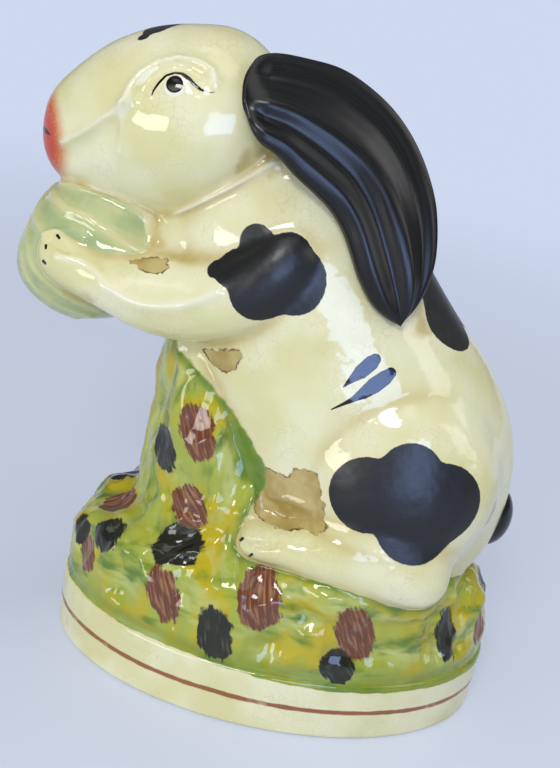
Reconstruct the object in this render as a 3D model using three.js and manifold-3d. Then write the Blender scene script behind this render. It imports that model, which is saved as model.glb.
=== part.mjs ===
// A seated earthenware rabbit eating a lettuce, on a grassy mound and an oval plinth.
// The clay sections are modelled as the potter makes them: hollow head and torso pressed in two halves,
// a hollow mound and plinth, and solid ears, legs, tail and lettuce that are luted on with slip.
// Millimetres, +Z up, the rabbit faces -X, and the origin is the middle of the plinth's underside.
import * as THREE from "three";
import { mergeVertices } from "three/addons/utils/BufferGeometryUtils.js";
import Module from "manifold-3d";

const wasm = await Module();
wasm.setup();

// Clay and joints
const WALL = 5; // thickness of the hollow clay walls
const LUTE_GAP = 0.3; // the thin bed of slip between two luted sections

// Plinth and base plate
const PLINTH_LENGTH = 146;
const PLINTH_WIDTH = 95;
const PLINTH_HEIGHT = 21;
const PLINTH_WALL = 8;
const PLINTH_EDGE_ROUND = 1.8;
const PLATE_THICKNESS = 5;
const PLATE_LEDGE = 3; // how far the plate's edge reaches under the plinth's wall
const VENT_DIAMETER = 14;
const VENT_SET_BACK = 34; // from the plinth's middle towards the tail

// Mound
const MOUND_HEIGHT = 29; // the ground that the rabbit sits on, above the plinth
const MOUND_SLOPE = 9; // how far the ground draws in from the plinth's edge at its top
const MOUND_LUMP = 1.1; // height of the uneven ground
const STUMP_FRONT = 52; // from the plinth's middle to the stump's front
const STUMP_WIDTH = 58;
const STUMP_REACH = 6; // how far the stump runs up behind the forelegs

// Torso
const TORSO_DEPTH = 123; // chest to rump
const TORSO_HEIGHT = 145;
const TORSO_WIDTH = 71;
const RUMP_SET_BACK = 67; // from the plinth's middle to the rump
const SEAT_DEPTH = 7; // how far the seat sinks into the mound
const SEAT_OPENING = 34; // hole under the torso that joins its hollow to the mound's

// Head
const HEAD_LENGTH = 75;
const HEAD_HEIGHT = 57;
const HEAD_WIDTH = 54;
const NECK_LAP = 4; // how far the head reaches back past the end of the neck
const HEAD_DROP = 41; // from the end of the neck down to the chin
const NECK_PASSAGE = 14; // hole that joins the hollows of head and torso
const NECK_SLOPE = 53; // degrees between the neck passage and the vertical
const EYE_LENGTH = 15;

// Ears
const EAR_LENGTH = 81.5;
const EAR_WIDTH = 32;
const EAR_THICKNESS = 11;
const EAR_FALL = 47; // degrees that the ear falls from its root to its tip
const EAR_BOW = 3; // how far the middle of the ear swings out over the shoulder
const EAR_SPLAY = 4; // how much further out the tip lies than the root
const EAR_LEAN = 1.05; // how steeply the upper edge leans in over the neck at the root
const EAR_FOLD_DEPTH = 1.6;

// Legs and tail
const SHOULDER_THICKNESS = 31;
const FORELEG_THICKNESS = 20;
const PAW_THICKNESS = 17;
const ELBOW_DROP = 9; // how far the foreleg sags below the line from shoulder to paw
const HAUNCH_LENGTH = 68;
const HAUNCH_HEIGHT = 66;
const HAUNCH_DEPTH = 20; // half the thickness of the haunch, most of it inside the torso
const HAUNCH_BULGE = 6.5; // how far the haunch stands out from the torso
const FOOT_LENGTH = 66;
const FOOT_THICKNESS = 17;
const FOOT_SINK = 2; // how deep the sole beds into the mound
const TAIL_LENGTH = 24;
const TAIL_WIDTH = 18;

// Lettuce
const LETTUCE_LENGTH = 52;
const LETTUCE_HEIGHT = 43;
const LETTUCE_WIDTH = 41;
const LETTUCE_LAP = 4; // how far the leaf reaches up past the chin
const LETTUCE_LEAD = 3; // how far the leaf reaches out past the nose
const LEAF_RIB_DEPTH = 0.9;
const LEAF_RIBS = 9;

// Colours of the glazes
const CREAM = 0xe6ddae;
const BLACK = 0x17171a;
const GRASS = 0x9bb043;
const LEAF = 0xb7c9a0;
const BISQUE = 0xd9cfae;

const UP = new THREE.Vector3(0, 0, 1);
const SIDE = new THREE.Vector3(0, 1, 0);
const point = (x, y, z) => new THREE.Vector3(x, y, z);

// Closed meshes as bodies that can be joined and cut, and back again

function weld(geometry) {
  const bare = new THREE.BufferGeometry();
  bare.setAttribute("position", geometry.getAttribute("position"));
  bare.setIndex(geometry.index);
  return mergeVertices(bare, 1e-4);
}

function solidOf(geometry) {
  const welded = weld(geometry);
  const triVerts = new Uint32Array(welded.index.array);
  const vertProperties = new Float32Array(welded.getAttribute("position").array);
  return new wasm.Manifold(new wasm.Mesh({ numProp: 3, vertProperties, triVerts }));
}

function geometryOf(solid) {
  const mesh = solid.getMesh();
  const geometry = new THREE.BufferGeometry();
  geometry.setAttribute("position", new THREE.BufferAttribute(new Float32Array(mesh.vertProperties), 3));
  geometry.setIndex(new THREE.BufferAttribute(new Uint32Array(mesh.triVerts), 1));
  return geometry;
}

// The main body of a cut piece, without the crumbs that a shallow cut can leave beside it.
function mainBody(solid) {
  return solid.decompose().reduce((largest, body) => (body.volume() > largest.volume() ? body : largest));
}

// The form moved outwards all over by a distance, as the tool that cuts its seat in a neighbour.
function grown(form, distance) {
  const moved = weld(form);
  moved.computeVertexNormals();
  const position = moved.getAttribute("position");
  const normal = moved.getAttribute("normal");
  for (let i = 0; i < position.count; i++) {
    const at = new THREE.Vector3().fromBufferAttribute(position, i);
    const out = new THREE.Vector3().fromBufferAttribute(normal, i);
    position.setXYZ(i, ...at.addScaledVector(out, distance).toArray());
  }
  return moved;
}

const cutter = (form) => solidOf(grown(form, LUTE_GAP));

// The form on the rabbit's other side: y changes sign, and the faces turn round.
function mirrored(form) {
  const other = weld(form);
  other.scale(1, -1, 1);
  const index = other.index.array;
  for (let i = 0; i < index.length; i += 3) [index[i + 1], index[i + 2]] = [index[i + 2], index[i + 1]];
  return other;
}

// Skin over rings of points, closed by the middle of the first and last ring.
function skin(rings) {
  const sides = rings[0].length;
  const middle = (ring) => ring.reduce((sum, p) => sum.add(p), new THREE.Vector3()).divideScalar(sides);
  const points = [...rings.flat(), middle(rings[0]), middle(rings.at(-1))];
  const [first, last] = [points.length - 2, points.length - 1];
  const index = [];
  for (let j = 0; j < sides; j++) {
    const k = (j + 1) % sides;
    for (let i = 0; i + 1 < rings.length; i++) {
      const [a, b] = [i * sides + j, i * sides + k];
      index.push(a, b, b + sides, a, b + sides, a + sides);
    }
    const end = (rings.length - 1) * sides;
    index.push(first, k, j, last, end + j, end + k);
  }
  const geometry = new THREE.BufferGeometry();
  const flat = points.flatMap((p) => p.toArray());
  geometry.setAttribute("position", new THREE.Float32BufferAttribute(flat, 3));
  geometry.setIndex(index);
  if (solidOf(geometry).volume() < 0) geometry.setIndex(index.reverse());
  return geometry;
}

// Smooth curve through points at even steps of its parameter, and the same for plain numbers.
const through = (points) => new THREE.CatmullRomCurve3(points, false, "catmullrom", 0.5);
const easing = (values) => {
  const curve = through(values.map((v) => point(v, 0, 0)));
  return (t) => curve.getPoint(t).x;
};

// Loft between two rails. At each step a section spans the rails, with its half width square to them.
// Steps crowd towards the ends so that the ends come out round. "relief" adds a height to the skin, from
// the place along the loft and the angle round the section, and "inset" thins the section for a hollow.
function railLoft(form) {
  const { railA, railB, halfWidths, across, steps, sides, relief } = form;
  const { square = 2, inset = 0, trim = 0 } = form;
  const [curveA, curveB, half] = [through(railA), through(railB), easing(halfWidths)];
  const rings = [];
  for (let i = 1; i < steps; i++) {
    const eased = (1 - Math.cos((Math.PI * i) / steps)) / 2;
    const t = trim + (1 - 2 * trim) * eased;
    const [a, b] = [curveA.getPoint(t), curveB.getPoint(t)];
    const centre = a.clone().add(b).divideScalar(2);
    const reach = a.clone().sub(b).divideScalar(2);
    const ahead = curveA.getTangent(t).add(curveB.getTangent(t));
    const wide = across ?? ahead.cross(reach).normalize();
    const span = Math.max(reach.length() - inset, 0.4);
    const width = Math.max(half(t) - inset, 0.4);
    const ring = [];
    for (let j = 0; j < sides; j++) {
      const angle = (2 * Math.PI * j) / sides;
      const [c, s] = [Math.cos(angle), Math.sin(angle)];
      const bulge = (v) => Math.sign(v) * Math.abs(v) ** (2 / square);
      const lift = relief ? relief(t, angle) : 0;
      const p = centre.clone().addScaledVector(reach.clone().normalize(), bulge(c) * (span + lift));
      ring.push(p.addScaledVector(wide, bulge(s) * (width + lift)));
    }
    rings.push(ring);
  }
  return skin(rings);
}

// Tube along a smooth path, with a radius up and a radius sideways at each of its points.
function limb(path, radiiUp, radiiSide, steps, sides) {
  const railA = path.map((p, i) => p.clone().addScaledVector(UP, radiiUp[i]));
  const railB = path.map((p, i) => p.clone().addScaledVector(UP, -radiiUp[i]));
  return railLoft({ railA, railB, halfWidths: radiiSide, steps, sides });
}

// Ball stretched to three half sizes.
function pebble(centre, halfX, halfY, halfZ, around, down) {
  const ball = new THREE.SphereGeometry(1, around, down).rotateX(Math.PI / 2);
  return weld(ball.scale(halfX, halfY, halfZ).translate(...centre.toArray()));
}

// Upright drum that pierces a wall.
function drum(diameter) {
  const radius = diameter / 2;
  return solidOf(weld(new THREE.CylinderGeometry(radius, radius, 4 * WALL, 24).rotateX(Math.PI / 2)));
}

// Both halves of a pressed hollow, parted by the seam of slip along the rabbit's middle.
function halves(shell) {
  const size = 4 * (TORSO_HEIGHT + HEAD_LENGTH);
  const block = new THREE.BoxGeometry(size, size, size);
  const shift = (size + LUTE_GAP) / 2;
  const left = solidOf(weld(block.clone().translate(0, -shift, 0)));
  const right = solidOf(weld(block.clone().translate(0, shift, 0)));
  return [mainBody(shell.intersect(left)), mainBody(shell.intersect(right))];
}

// Plinth: an oval wall with rounded edges and a rebate for the plate

const OVAL_STEPS = 52;

// A point of the plinth's oval, moved inwards square to the oval.
function ovalPoint(step, inset, z) {
  const angle = (2 * Math.PI * step) / OVAL_STEPS;
  const [c, s] = [Math.cos(angle), Math.sin(angle)];
  const [halfLength, halfWidth] = [PLINTH_LENGTH / 2, PLINTH_WIDTH / 2];
  const inwards = point(-c * halfWidth, -s * halfLength, 0).normalize();
  return point(c * halfLength, s * halfWidth, z).addScaledVector(inwards, inset);
}

function plinthShape() {
  const round = PLINTH_EDGE_ROUND;
  const chamfer = round * (1 - Math.SQRT1_2);
  const top = PLINTH_HEIGHT;
  const rebate = PLATE_THICKNESS + LUTE_GAP;
  const profile = [
    [round, 0], [chamfer, chamfer], [0, round], [0, top - round], [chamfer, top - chamfer], [round, top],
    [PLINTH_WALL, top], [PLINTH_WALL, rebate], [PLINTH_WALL - PLATE_LEDGE, rebate],
    [PLINTH_WALL - PLATE_LEDGE, 0],
  ];
  const points = [];
  const index = [];
  for (let i = 0; i < OVAL_STEPS; i++) {
    for (const [inset, z] of profile) points.push(...ovalPoint(i, inset, z).toArray());
    for (let j = 0; j < profile.length; j++) {
      const [here, next] = [i * profile.length, ((i + 1) % OVAL_STEPS) * profile.length];
      const k = (j + 1) % profile.length;
      index.push(here + j, next + j, next + k, here + j, next + k, here + k);
    }
  }
  const geometry = new THREE.BufferGeometry();
  geometry.setAttribute("position", new THREE.Float32BufferAttribute(points, 3));
  geometry.setIndex(index);
  return geometry;
}

function basePlateShape() {
  const edge = PLINTH_WALL - PLATE_LEDGE + LUTE_GAP;
  const outline = Array.from({ length: OVAL_STEPS }, (_, i) => ovalPoint(i, edge, 0));
  const shape = new THREE.Shape(outline.map((p) => new THREE.Vector2(p.x, p.y)));
  shape.holes.push(new THREE.Path().absarc(VENT_SET_BACK, 0, VENT_DIAMETER / 2, 0, 2 * Math.PI));
  return new THREE.ExtrudeGeometry(shape, { depth: PLATE_THICKNESS, bevelEnabled: false, curveSegments: 24 });
}

// Torso: a pear that leans forwards, from the seat up to the end of the neck.
// Each row is back (depth, height), belly (depth, height) and half width, as shares of the torso's sizes,
// with depth counted forwards from the rump.

const TORSO_ROWS = [
  [0.33, 0.0, 0.33, 0.0, 0.02],
  [0.11, 0.03, 0.55, 0.0, 0.62],
  [0.03, 0.1, 0.67, 0.07, 0.89],
  [0.0, 0.22, 0.75, 0.19, 1.0],
  [0.01, 0.33, 0.82, 0.31, 1.0],
  [0.055, 0.43, 0.89, 0.42, 0.95],
  [0.13, 0.52, 0.95, 0.53, 0.89],
  [0.235, 0.61, 1.0, 0.64, 0.85],
  [0.33, 0.7, 1.0, 0.74, 0.78],
  [0.41, 0.79, 0.97, 0.81, 0.68],
  [0.51, 0.89, 0.92, 0.88, 0.56],
  [0.63, 0.97, 0.87, 0.94, 0.4],
  [0.77, 1.0, 0.77, 1.0, 0.02],
];
const SEAT_Z = PLINTH_HEIGHT + MOUND_HEIGHT - SEAT_DEPTH;
const torsoPoint = (depth, y, height) =>
  point(RUMP_SET_BACK - depth * TORSO_DEPTH, y, SEAT_Z + height * TORSO_HEIGHT);

function torsoShape(steps, sides, inset = 0, trim = 0) {
  return railLoft({
    railA: TORSO_ROWS.map(([depth, height]) => torsoPoint(depth, 0, height)),
    railB: TORSO_ROWS.map(([, , depth, height]) => torsoPoint(depth, 0, height)),
    halfWidths: TORSO_ROWS.map((row) => (row[4] * TORSO_WIDTH) / 2),
    across: SIDE, steps, sides, square: 2.2, inset, trim,
  });
}

// Head: an egg with a tapered muzzle. Each row is the place along the head from the nose, the height of the
// crown, the height of the jaw and the half width, as shares of the head's sizes.

const HEAD_ROWS = [
  [0.0, 0.25, 0.25, 0.02],
  [0.02, 0.39, 0.1, 0.27],
  [0.093, 0.6, 0.05, 0.5],
  [0.227, 0.8, 0.03, 0.73],
  [0.387, 0.93, 0.01, 0.91],
  [0.56, 1.0, 0.0, 1.0],
  [0.707, 0.99, 0.05, 0.98],
  [0.84, 0.91, 0.16, 0.86],
  [0.947, 0.75, 0.34, 0.58],
  [1.0, 0.54, 0.54, 0.02],
];
const NECK_END = torsoPoint(TORSO_ROWS.at(-1)[0], 0, TORSO_ROWS.at(-1)[1]);
const NOSE_X = NECK_END.x + NECK_LAP - HEAD_LENGTH;
const CHIN_Z = NECK_END.z - HEAD_DROP;
const headPoint = (along, y, height) => point(NOSE_X + along * HEAD_LENGTH, y, CHIN_Z + height * HEAD_HEIGHT);

function headShape(steps, sides, inset = 0, trim = 0) {
  return railLoft({
    railA: HEAD_ROWS.map(([along, crown]) => headPoint(along, 0, crown)),
    railB: HEAD_ROWS.map(([along, , jaw]) => headPoint(along, 0, jaw)),
    halfWidths: HEAD_ROWS.map((row) => (row[3] * HEAD_WIDTH) / 2),
    across: SIDE, steps, sides, inset, trim,
  });
}

// The low swelling of the closed lids that each eye is painted on.
function eyeShape() {
  const centre = headPoint(0.53, -0.4 * HEAD_WIDTH, 0.73);
  return pebble(centre, EYE_LENGTH / 2, EYE_LENGTH / 5, EYE_LENGTH / 3, 12, 6);
}

// Ear: a lop ear laid back over the shoulder. Each row is the upper edge (along, across) and the lower edge
// (along, across), as shares of the ear's length and width from its root. The folds groove the outer face.

const EAR_ROWS = [
  [0.0, 0.0, 0.0, 0.0],
  [-0.04, 0.13, 0.05, -0.11],
  [-0.01, 0.29, 0.17, -0.2],
  [0.085, 0.52, 0.29, -0.095],
  [0.205, 0.74, 0.41, -0.035],
  [0.37, 0.89, 0.52, 0.025],
  [0.535, 0.92, 0.635, 0.01],
  [0.705, 0.83, 0.745, -0.05],
  [0.865, 0.59, 0.84, -0.105],
  [0.965, 0.3, 0.92, -0.08],
  [1.0, 0.0, 1.0, 0.0],
];
const EAR_ROOT = headPoint(0.803, -0.425 * HEAD_WIDTH, 0.82);

function earShape(steps, sides) {
  const fall = THREE.MathUtils.degToRad(EAR_FALL);
  const along = point(Math.cos(fall), 0, -Math.sin(fall));
  const over = point(Math.sin(fall), 0, Math.cos(fall));
  const at = (a, o) => {
    const lean = EAR_LEAN * (1 - 0.7 * a) * o * EAR_WIDTH;
    const out = EAR_SPLAY * a + EAR_BOW * Math.sin(Math.PI * a);
    const edge = EAR_ROOT.clone().addScaledVector(along, a * EAR_LENGTH);
    return edge.addScaledVector(over, o * EAR_WIDTH).addScaledVector(SIDE, lean - out);
  };
  const folds = (t, angle) => {
    const outer = Math.max(0, Math.sin(angle));
    const groove = (place) => Math.exp(-(((Math.cos(angle) - place) / 0.2) ** 2));
    return -EAR_FOLD_DEPTH * outer * Math.sin(Math.PI * t) * (groove(-0.45) + groove(0.25));
  };
  return railLoft({
    railA: EAR_ROWS.map(([a, o]) => at(a, o)),
    railB: EAR_ROWS.map(([, , a, o]) => at(a, o)),
    halfWidths: EAR_ROWS.map((_, i) => (EAR_THICKNESS / 2) * Math.sin((Math.PI * (i + 0.4)) / 10.8) ** 0.4),
    steps, sides, square: 2.3, relief: folds,
  });
}

// Lettuce: folded leaves from the chest to the mouth, ribbed lengthways. Each row is the place along it
// from the chest, the heights of its top and bottom and the half width, as shares of its sizes.
// The jaw cuts its top.

const LETTUCE_ROWS = [
  [0.0, 0.6, 0.6, 0.02],
  [0.05, 0.9, 0.36, 0.5],
  [0.22, 1.08, 0.14, 0.85],
  [0.46, 1.12, 0.02, 1.0],
  [0.68, 1.08, 0.0, 0.98],
  [0.85, 0.94, 0.09, 0.82],
  [0.96, 0.7, 0.22, 0.52],
  [1.0, 0.44, 0.44, 0.02],
];
const LETTUCE_TIP_X = NOSE_X - LETTUCE_LEAD;
const LETTUCE_BASE_Z = CHIN_Z + LETTUCE_LAP - LETTUCE_HEIGHT;
const lettucePoint = (along, y, height) =>
  point(LETTUCE_TIP_X + (1 - along) * LETTUCE_LENGTH, y, LETTUCE_BASE_Z + height * LETTUCE_HEIGHT);

function lettuceShape(steps, sides) {
  return railLoft({
    railA: LETTUCE_ROWS.map(([along, top]) => lettucePoint(along, 0, top)),
    railB: LETTUCE_ROWS.map(([along, , bottom]) => lettucePoint(along, 0, bottom)),
    halfWidths: LETTUCE_ROWS.map((row) => (row[3] * LETTUCE_WIDTH) / 2),
    across: SIDE, steps, sides,
    relief: (t, angle) => LEAF_RIB_DEPTH * Math.sin(Math.PI * t) * Math.cos(LEAF_RIBS * angle + 4 * t),
  });
}

// Foreleg: from the shoulder along the chest to a paw on the lettuce.

const SHOULDER = torsoPoint(0.7, -0.33 * TORSO_WIDTH, 0.67);
const PAW = lettucePoint(0.74, -0.38 * LETTUCE_WIDTH, 0.52);
const forearmPoint = (share) =>
  SHOULDER.clone().lerp(PAW, share).add(point(0, -FORELEG_THICKNESS / 10, -ELBOW_DROP));

function forelegShape(steps, sides) {
  const [shoulder, arm, paw] = [SHOULDER_THICKNESS / 2, FORELEG_THICKNESS / 2, PAW_THICKNESS / 2];
  const root = SHOULDER.clone().add(point(shoulder, 0, shoulder / 2));
  const toes = PAW.clone().add(point(-paw, paw / 4, 0));
  const path = [root, SHOULDER, forearmPoint(0.3), forearmPoint(0.68), PAW, toes];
  const tip = 0.1 * paw;
  return limb(path, [tip, shoulder, 1.2 * arm, arm, paw, tip], [tip, 0.6 * shoulder, arm, arm, paw, tip],
    steps, sides);
}

// Hind leg: a haunch on the torso's side, and a long foot that lies forwards on the mound.

const HAUNCH = torsoPoint(0.31, HAUNCH_DEPTH - HAUNCH_BULGE - TORSO_WIDTH / 2, 0.28);
const FOOT_Y = -TORSO_WIDTH / 2;
const SOLE_Z = PLINTH_HEIGHT + MOUND_HEIGHT - FOOT_SINK;

function haunchShape() {
  return pebble(HAUNCH, HAUNCH_LENGTH / 2, HAUNCH_DEPTH, HAUNCH_HEIGHT / 2, 22, 14);
}

function footShape(steps, sides) {
  const half = FOOT_THICKNESS / 2;
  const heel = HAUNCH.x + 0.24 * FOOT_LENGTH;
  const at = (share, inwards) =>
    point(heel - share * FOOT_LENGTH, FOOT_Y + inwards * half, SOLE_Z + half);
  const path = [at(-0.06, 0.5), at(0.06, 0.2), at(0.35, -0.1), at(0.7, 0), at(0.94, 0.35), at(1, 0.45)];
  const up = [0.1, 1.2, 1.12, 1, 0.8, 0.1].map((share) => share * half);
  const aside = [0.1, 1, 1, 1, 0.85, 0.1].map((share) => share * half);
  return limb(path, up, aside, steps, sides);
}

// Tail: a short scut pressed against the rump.
function tailShape() {
  const root = torsoPoint(0.012, 0, 0.17);
  return pebble(root, TAIL_LENGTH / 4, TAIL_WIDTH / 2, TAIL_LENGTH / 2, 16, 10);
}

// Mound: uneven ground that fills the plinth's oval, with a stump in front of the belly up to the forelegs.
// Each row is the height above the plinth, the front, the back and the half width. The stump's back is
// inside the belly, which cuts it open.

function moundRows() {
  const long = PLINTH_LENGTH / 2 - PLINTH_EDGE_ROUND;
  const wide = PLINTH_WIDTH / 2 - PLINTH_EDGE_ROUND;
  const stumpTop = forearmPoint(0.45).z - PLINTH_HEIGHT + STUMP_REACH;
  const rise = (share) => MOUND_HEIGHT + share * (stumpTop - MOUND_HEIGHT);
  const stump = (share) => (share * STUMP_WIDTH) / 2;
  const belly = (share) => share * STUMP_FRONT;
  return [
    [LUTE_GAP, long, long, wide],
    [0.22 * MOUND_HEIGHT, long, long, wide - 0.1 * MOUND_SLOPE],
    [0.55 * MOUND_HEIGHT, long - 0.15 * MOUND_SLOPE, long - 0.3 * MOUND_SLOPE, wide - 0.35 * MOUND_SLOPE],
    [0.82 * MOUND_HEIGHT, long - 0.4 * MOUND_SLOPE, long - 0.7 * MOUND_SLOPE, wide - 0.7 * MOUND_SLOPE],
    [MOUND_HEIGHT, long - MOUND_SLOPE, long - 1.5 * MOUND_SLOPE, wide - MOUND_SLOPE],
    [rise(0.1), STUMP_FRONT + 0.4 * MOUND_SLOPE, belly(0.65), stump(1.13)],
    [rise(0.25), STUMP_FRONT, belly(0.15), stump(1)],
    [rise(0.45), STUMP_FRONT, -belly(0.15), stump(0.92)],
    [rise(0.65), STUMP_FRONT, -belly(0.35), stump(0.78)],
    [rise(0.82), STUMP_FRONT, -belly(0.5), stump(0.6)],
    [rise(0.95), belly(0.96), -belly(0.7), stump(0.34)],
    [rise(1), belly(0.88), -belly(0.87), stump(0.02)],
  ];
}

function moundShape(steps, sides, inset = 0) {
  const rows = moundRows();
  const [height, front, back, half] = [0, 1, 2, 3].map((column) => easing(rows.map((row) => row[column])));
  const rings = [];
  for (let i = 0; i <= steps; i++) {
    const t = (i / steps) * (inset ? 0.93 : 1);
    const [fore, aft] = [-front(t) + inset, back(t) - inset];
    const [middle, long] = [(fore + aft) / 2, Math.max((aft - fore) / 2, 0.4)];
    const lumps = inset ? 0 : MOUND_LUMP * Math.min(1, 4 * t) * Math.min(1, 4 * (1 - t));
    const ring = [];
    for (let j = 0; j < sides; j++) {
      const angle = (2 * Math.PI * j) / sides;
      const lump = lumps * (Math.sin(7 * angle + 9 * t) + 0.7 * Math.sin(11 * angle - 14 * t));
      const x = middle + (long + lump) * Math.cos(angle);
      const y = (Math.max(half(t) - inset, 0.4) + lump) * Math.sin(angle);
      ring.push(point(x, y, PLINTH_HEIGHT + height(t) - (inset && i === 0 ? WALL : 0)));
    }
    rings.push(ring);
  }
  return skin(rings);
}

// Cut the sections to seat on one another

const headForm = headShape(22, 24);
const torsoForm = torsoShape(24, 28);
const forelegForm = forelegShape(16, 16);
const haunchForm = haunchShape();
const footForm = footShape(14, 14);
const headTool = cutter(headForm);
const torsoTool = cutter(torsoForm);

const eye = solidOf(eyeShape());
const neckPassage = drum(NECK_PASSAGE)
  .rotate(0, -NECK_SLOPE, 0)
  .translate(...headPoint(0.86, 0, 0.2).toArray());
const headShell = solidOf(headForm)
  .add(eye)
  .add(solidOf(mirrored(eyeShape())))
  .subtract(solidOf(headShape(14, 16, WALL, 0.06)))
  .subtract(neckPassage);
const [headLeft, headRight] = halves(headShell);

const seatOpening = drum(SEAT_OPENING).translate(...torsoPoint(TORSO_ROWS[0][0], 0, 0).toArray());
const torsoShell = solidOf(torsoForm)
  .subtract(solidOf(torsoShape(16, 18, WALL, 0.05)))
  .subtract(headTool)
  .subtract(seatOpening);
const [torsoLeft, torsoRight] = halves(torsoShell);

// Seats one left-hand form on what carries it, and its mirror image on the other side.
function luted(solid, ...tools) {
  return mainBody(tools.reduce((cut, tool) => cut.subtract(tool), solid));
}
const mirrorSolid = (solid) => solidOf(mirrored(geometryOf(solid)));

const forelegLeft = luted(solidOf(forelegForm), torsoTool, headTool);
const forelegTool = cutter(forelegForm);
const forelegTools = [forelegTool, mirrorSolid(forelegTool)];
const earLeft = luted(solidOf(earShape(17, 18)), headTool, torsoTool, forelegTool);
const hindLegLeft = luted(solidOf(haunchForm).add(solidOf(footForm)), torsoTool);
const hindLegTool = cutter(haunchForm).add(cutter(footForm));
const lettuceForm = lettuceShape(12, 30);
const lettuce = luted(solidOf(lettuceForm), ...forelegTools, headTool, torsoTool);
const tailForm = tailShape();
const tail = luted(solidOf(tailForm), torsoTool);
const moundShell = solidOf(moundShape(22, 48)).subtract(solidOf(moundShape(11, 22, WALL)));
const mound = luted(moundShell, torsoTool, hindLegTool, mirrorSolid(hindLegTool), ...forelegTools,
  cutter(lettuceForm), cutter(tailForm));

// Scene graph

const glaze = (color, roughness) => new THREE.MeshStandardMaterial({ color, roughness, metalness: 0 });
const creamGlaze = glaze(CREAM, 0.18);
const blackEnamel = glaze(BLACK, 0.32);
const grassGlaze = glaze(GRASS, 0.2);
const leafGlaze = glaze(LEAF, 0.2);
const bisque = glaze(BISQUE, 0.85);

const figurine = new THREE.Group();
function place(name, geometry, material) {
  const mesh = new THREE.Mesh(geometry, material);
  mesh.name = name;
  figurine.add(mesh);
}

place("plinth", plinthShape(), creamGlaze);
place("base_plate", basePlateShape(), bisque);
place("mound", geometryOf(mound), grassGlaze);
place("torso_left_half", geometryOf(torsoLeft), creamGlaze);
place("torso_right_half", geometryOf(torsoRight), creamGlaze);
place("head_left_half", geometryOf(headLeft), creamGlaze);
place("head_right_half", geometryOf(headRight), creamGlaze);
place("ear_left", geometryOf(earLeft), blackEnamel);
place("ear_right", mirrored(geometryOf(earLeft)), blackEnamel);
place("foreleg_left", geometryOf(forelegLeft), creamGlaze);
place("foreleg_right", mirrored(geometryOf(forelegLeft)), creamGlaze);
place("hind_leg_left", geometryOf(hindLegLeft), creamGlaze);
place("hind_leg_right", mirrored(geometryOf(hindLegLeft)), creamGlaze);
place("lettuce", geometryOf(lettuce), leafGlaze);
place("tail", geometryOf(tail), blackEnamel);

export default figurine;
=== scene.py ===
# %% [markdown]
# # A glazed earthenware rabbit
#
# This lesson dresses a CAD model of a chimney-piece rabbit: a hollow clay figure on a grassy mound and
# an oval plinth, under a crackled cream glaze. The CAD model gives the frame and the main sizes. Blender
# adds what a CAD tool can't easily give: clay that flows from piece to piece, brushwork and glaze.

# %% Tools and frame
from functools import partial, reduce

import bpy
import numpy as np
from mathutils import Matrix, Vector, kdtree


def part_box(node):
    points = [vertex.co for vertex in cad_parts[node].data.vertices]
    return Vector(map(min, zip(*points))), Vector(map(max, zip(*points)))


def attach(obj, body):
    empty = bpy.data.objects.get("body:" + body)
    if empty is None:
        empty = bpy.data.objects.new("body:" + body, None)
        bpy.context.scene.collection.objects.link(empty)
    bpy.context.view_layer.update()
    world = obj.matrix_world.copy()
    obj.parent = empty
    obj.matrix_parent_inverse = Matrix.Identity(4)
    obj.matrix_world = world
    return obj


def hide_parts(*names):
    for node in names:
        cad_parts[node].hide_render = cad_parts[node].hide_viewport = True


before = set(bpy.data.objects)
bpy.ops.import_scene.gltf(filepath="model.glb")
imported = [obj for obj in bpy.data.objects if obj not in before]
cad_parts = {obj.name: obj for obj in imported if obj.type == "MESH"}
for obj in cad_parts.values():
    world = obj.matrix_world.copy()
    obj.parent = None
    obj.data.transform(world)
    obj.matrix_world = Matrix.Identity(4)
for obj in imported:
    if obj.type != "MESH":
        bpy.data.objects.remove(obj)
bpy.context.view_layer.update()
print("CAD nodes:", ", ".join(sorted(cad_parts)))

# %% [markdown]
# ## Sizes
#
# Shapes below are worked out in millimetres and put into the meshes in metres. The boxes of the CAD
# nodes give the sizes of the plinth, torso and head, so the looks follow when the CAD model changes.

# %% Sizes from the frame
MILLIMETRE = 0.001


def span(*nodes):
    """Lowest and highest corner of some CAD nodes together, in millimetres."""
    corners = np.array([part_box(node) for node in nodes]) / MILLIMETRE
    return corners[:, 0].min(axis=0), corners[:, 1].max(axis=0)


_, plinth_high = span("plinth")
torso_low, torso_high = span("torso_left_half", "torso_right_half")
head_low, head_high = span("head_left_half", "head_right_half")
lettuce_low, _ = span("lettuce")
tail_low, tail_high = span("tail")
PLINTH_TOP = plinth_high[2]
MOUND_HEIGHT = 29
GROUND_Z = PLINTH_TOP + MOUND_HEIGHT
print("torso", np.round(torso_high - torso_low, 1), "head", np.round(head_high - head_low, 1))

# %% [markdown]
# ## Lofts
#
# Nearly every form of the rabbit is a loft: two rails run along the form, and an oval section spans
# them at each step. A table of a few rows is easier to shape than hundreds of vertices, and a smooth
# curve through the rows makes a dense grid of it. Steps crowd towards the ends, so the ends are round.

# %% Curves and lofts


def curve(rows, t):
    """Smooth curve through evenly spaced rows: each stretch is the cubic whose slope at a row is half
    the way from the row before to the row after. Past the ends, the last stretch goes on straight."""
    rows = np.asarray(rows, float)
    padded = np.vstack([2 * rows[:1] - rows[1:2], rows, 2 * rows[-1:] - rows[-2:-1]])
    place = t * (len(rows) - 1)
    i = np.clip(place.astype(int), 0, len(rows) - 2)
    f = (place - i)[:, None]
    a, b, c, d = (padded[i + k] for k in range(4))
    return b + 0.5 * f * (c - a + f * (2 * a - 5 * b + 4 * c - d + f * (3 * (b - c) + d - a)))


def unit(vectors):
    """Vectors divided by their lengths."""
    return vectors / np.linalg.norm(vectors, axis=-1, keepdims=True)


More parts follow.
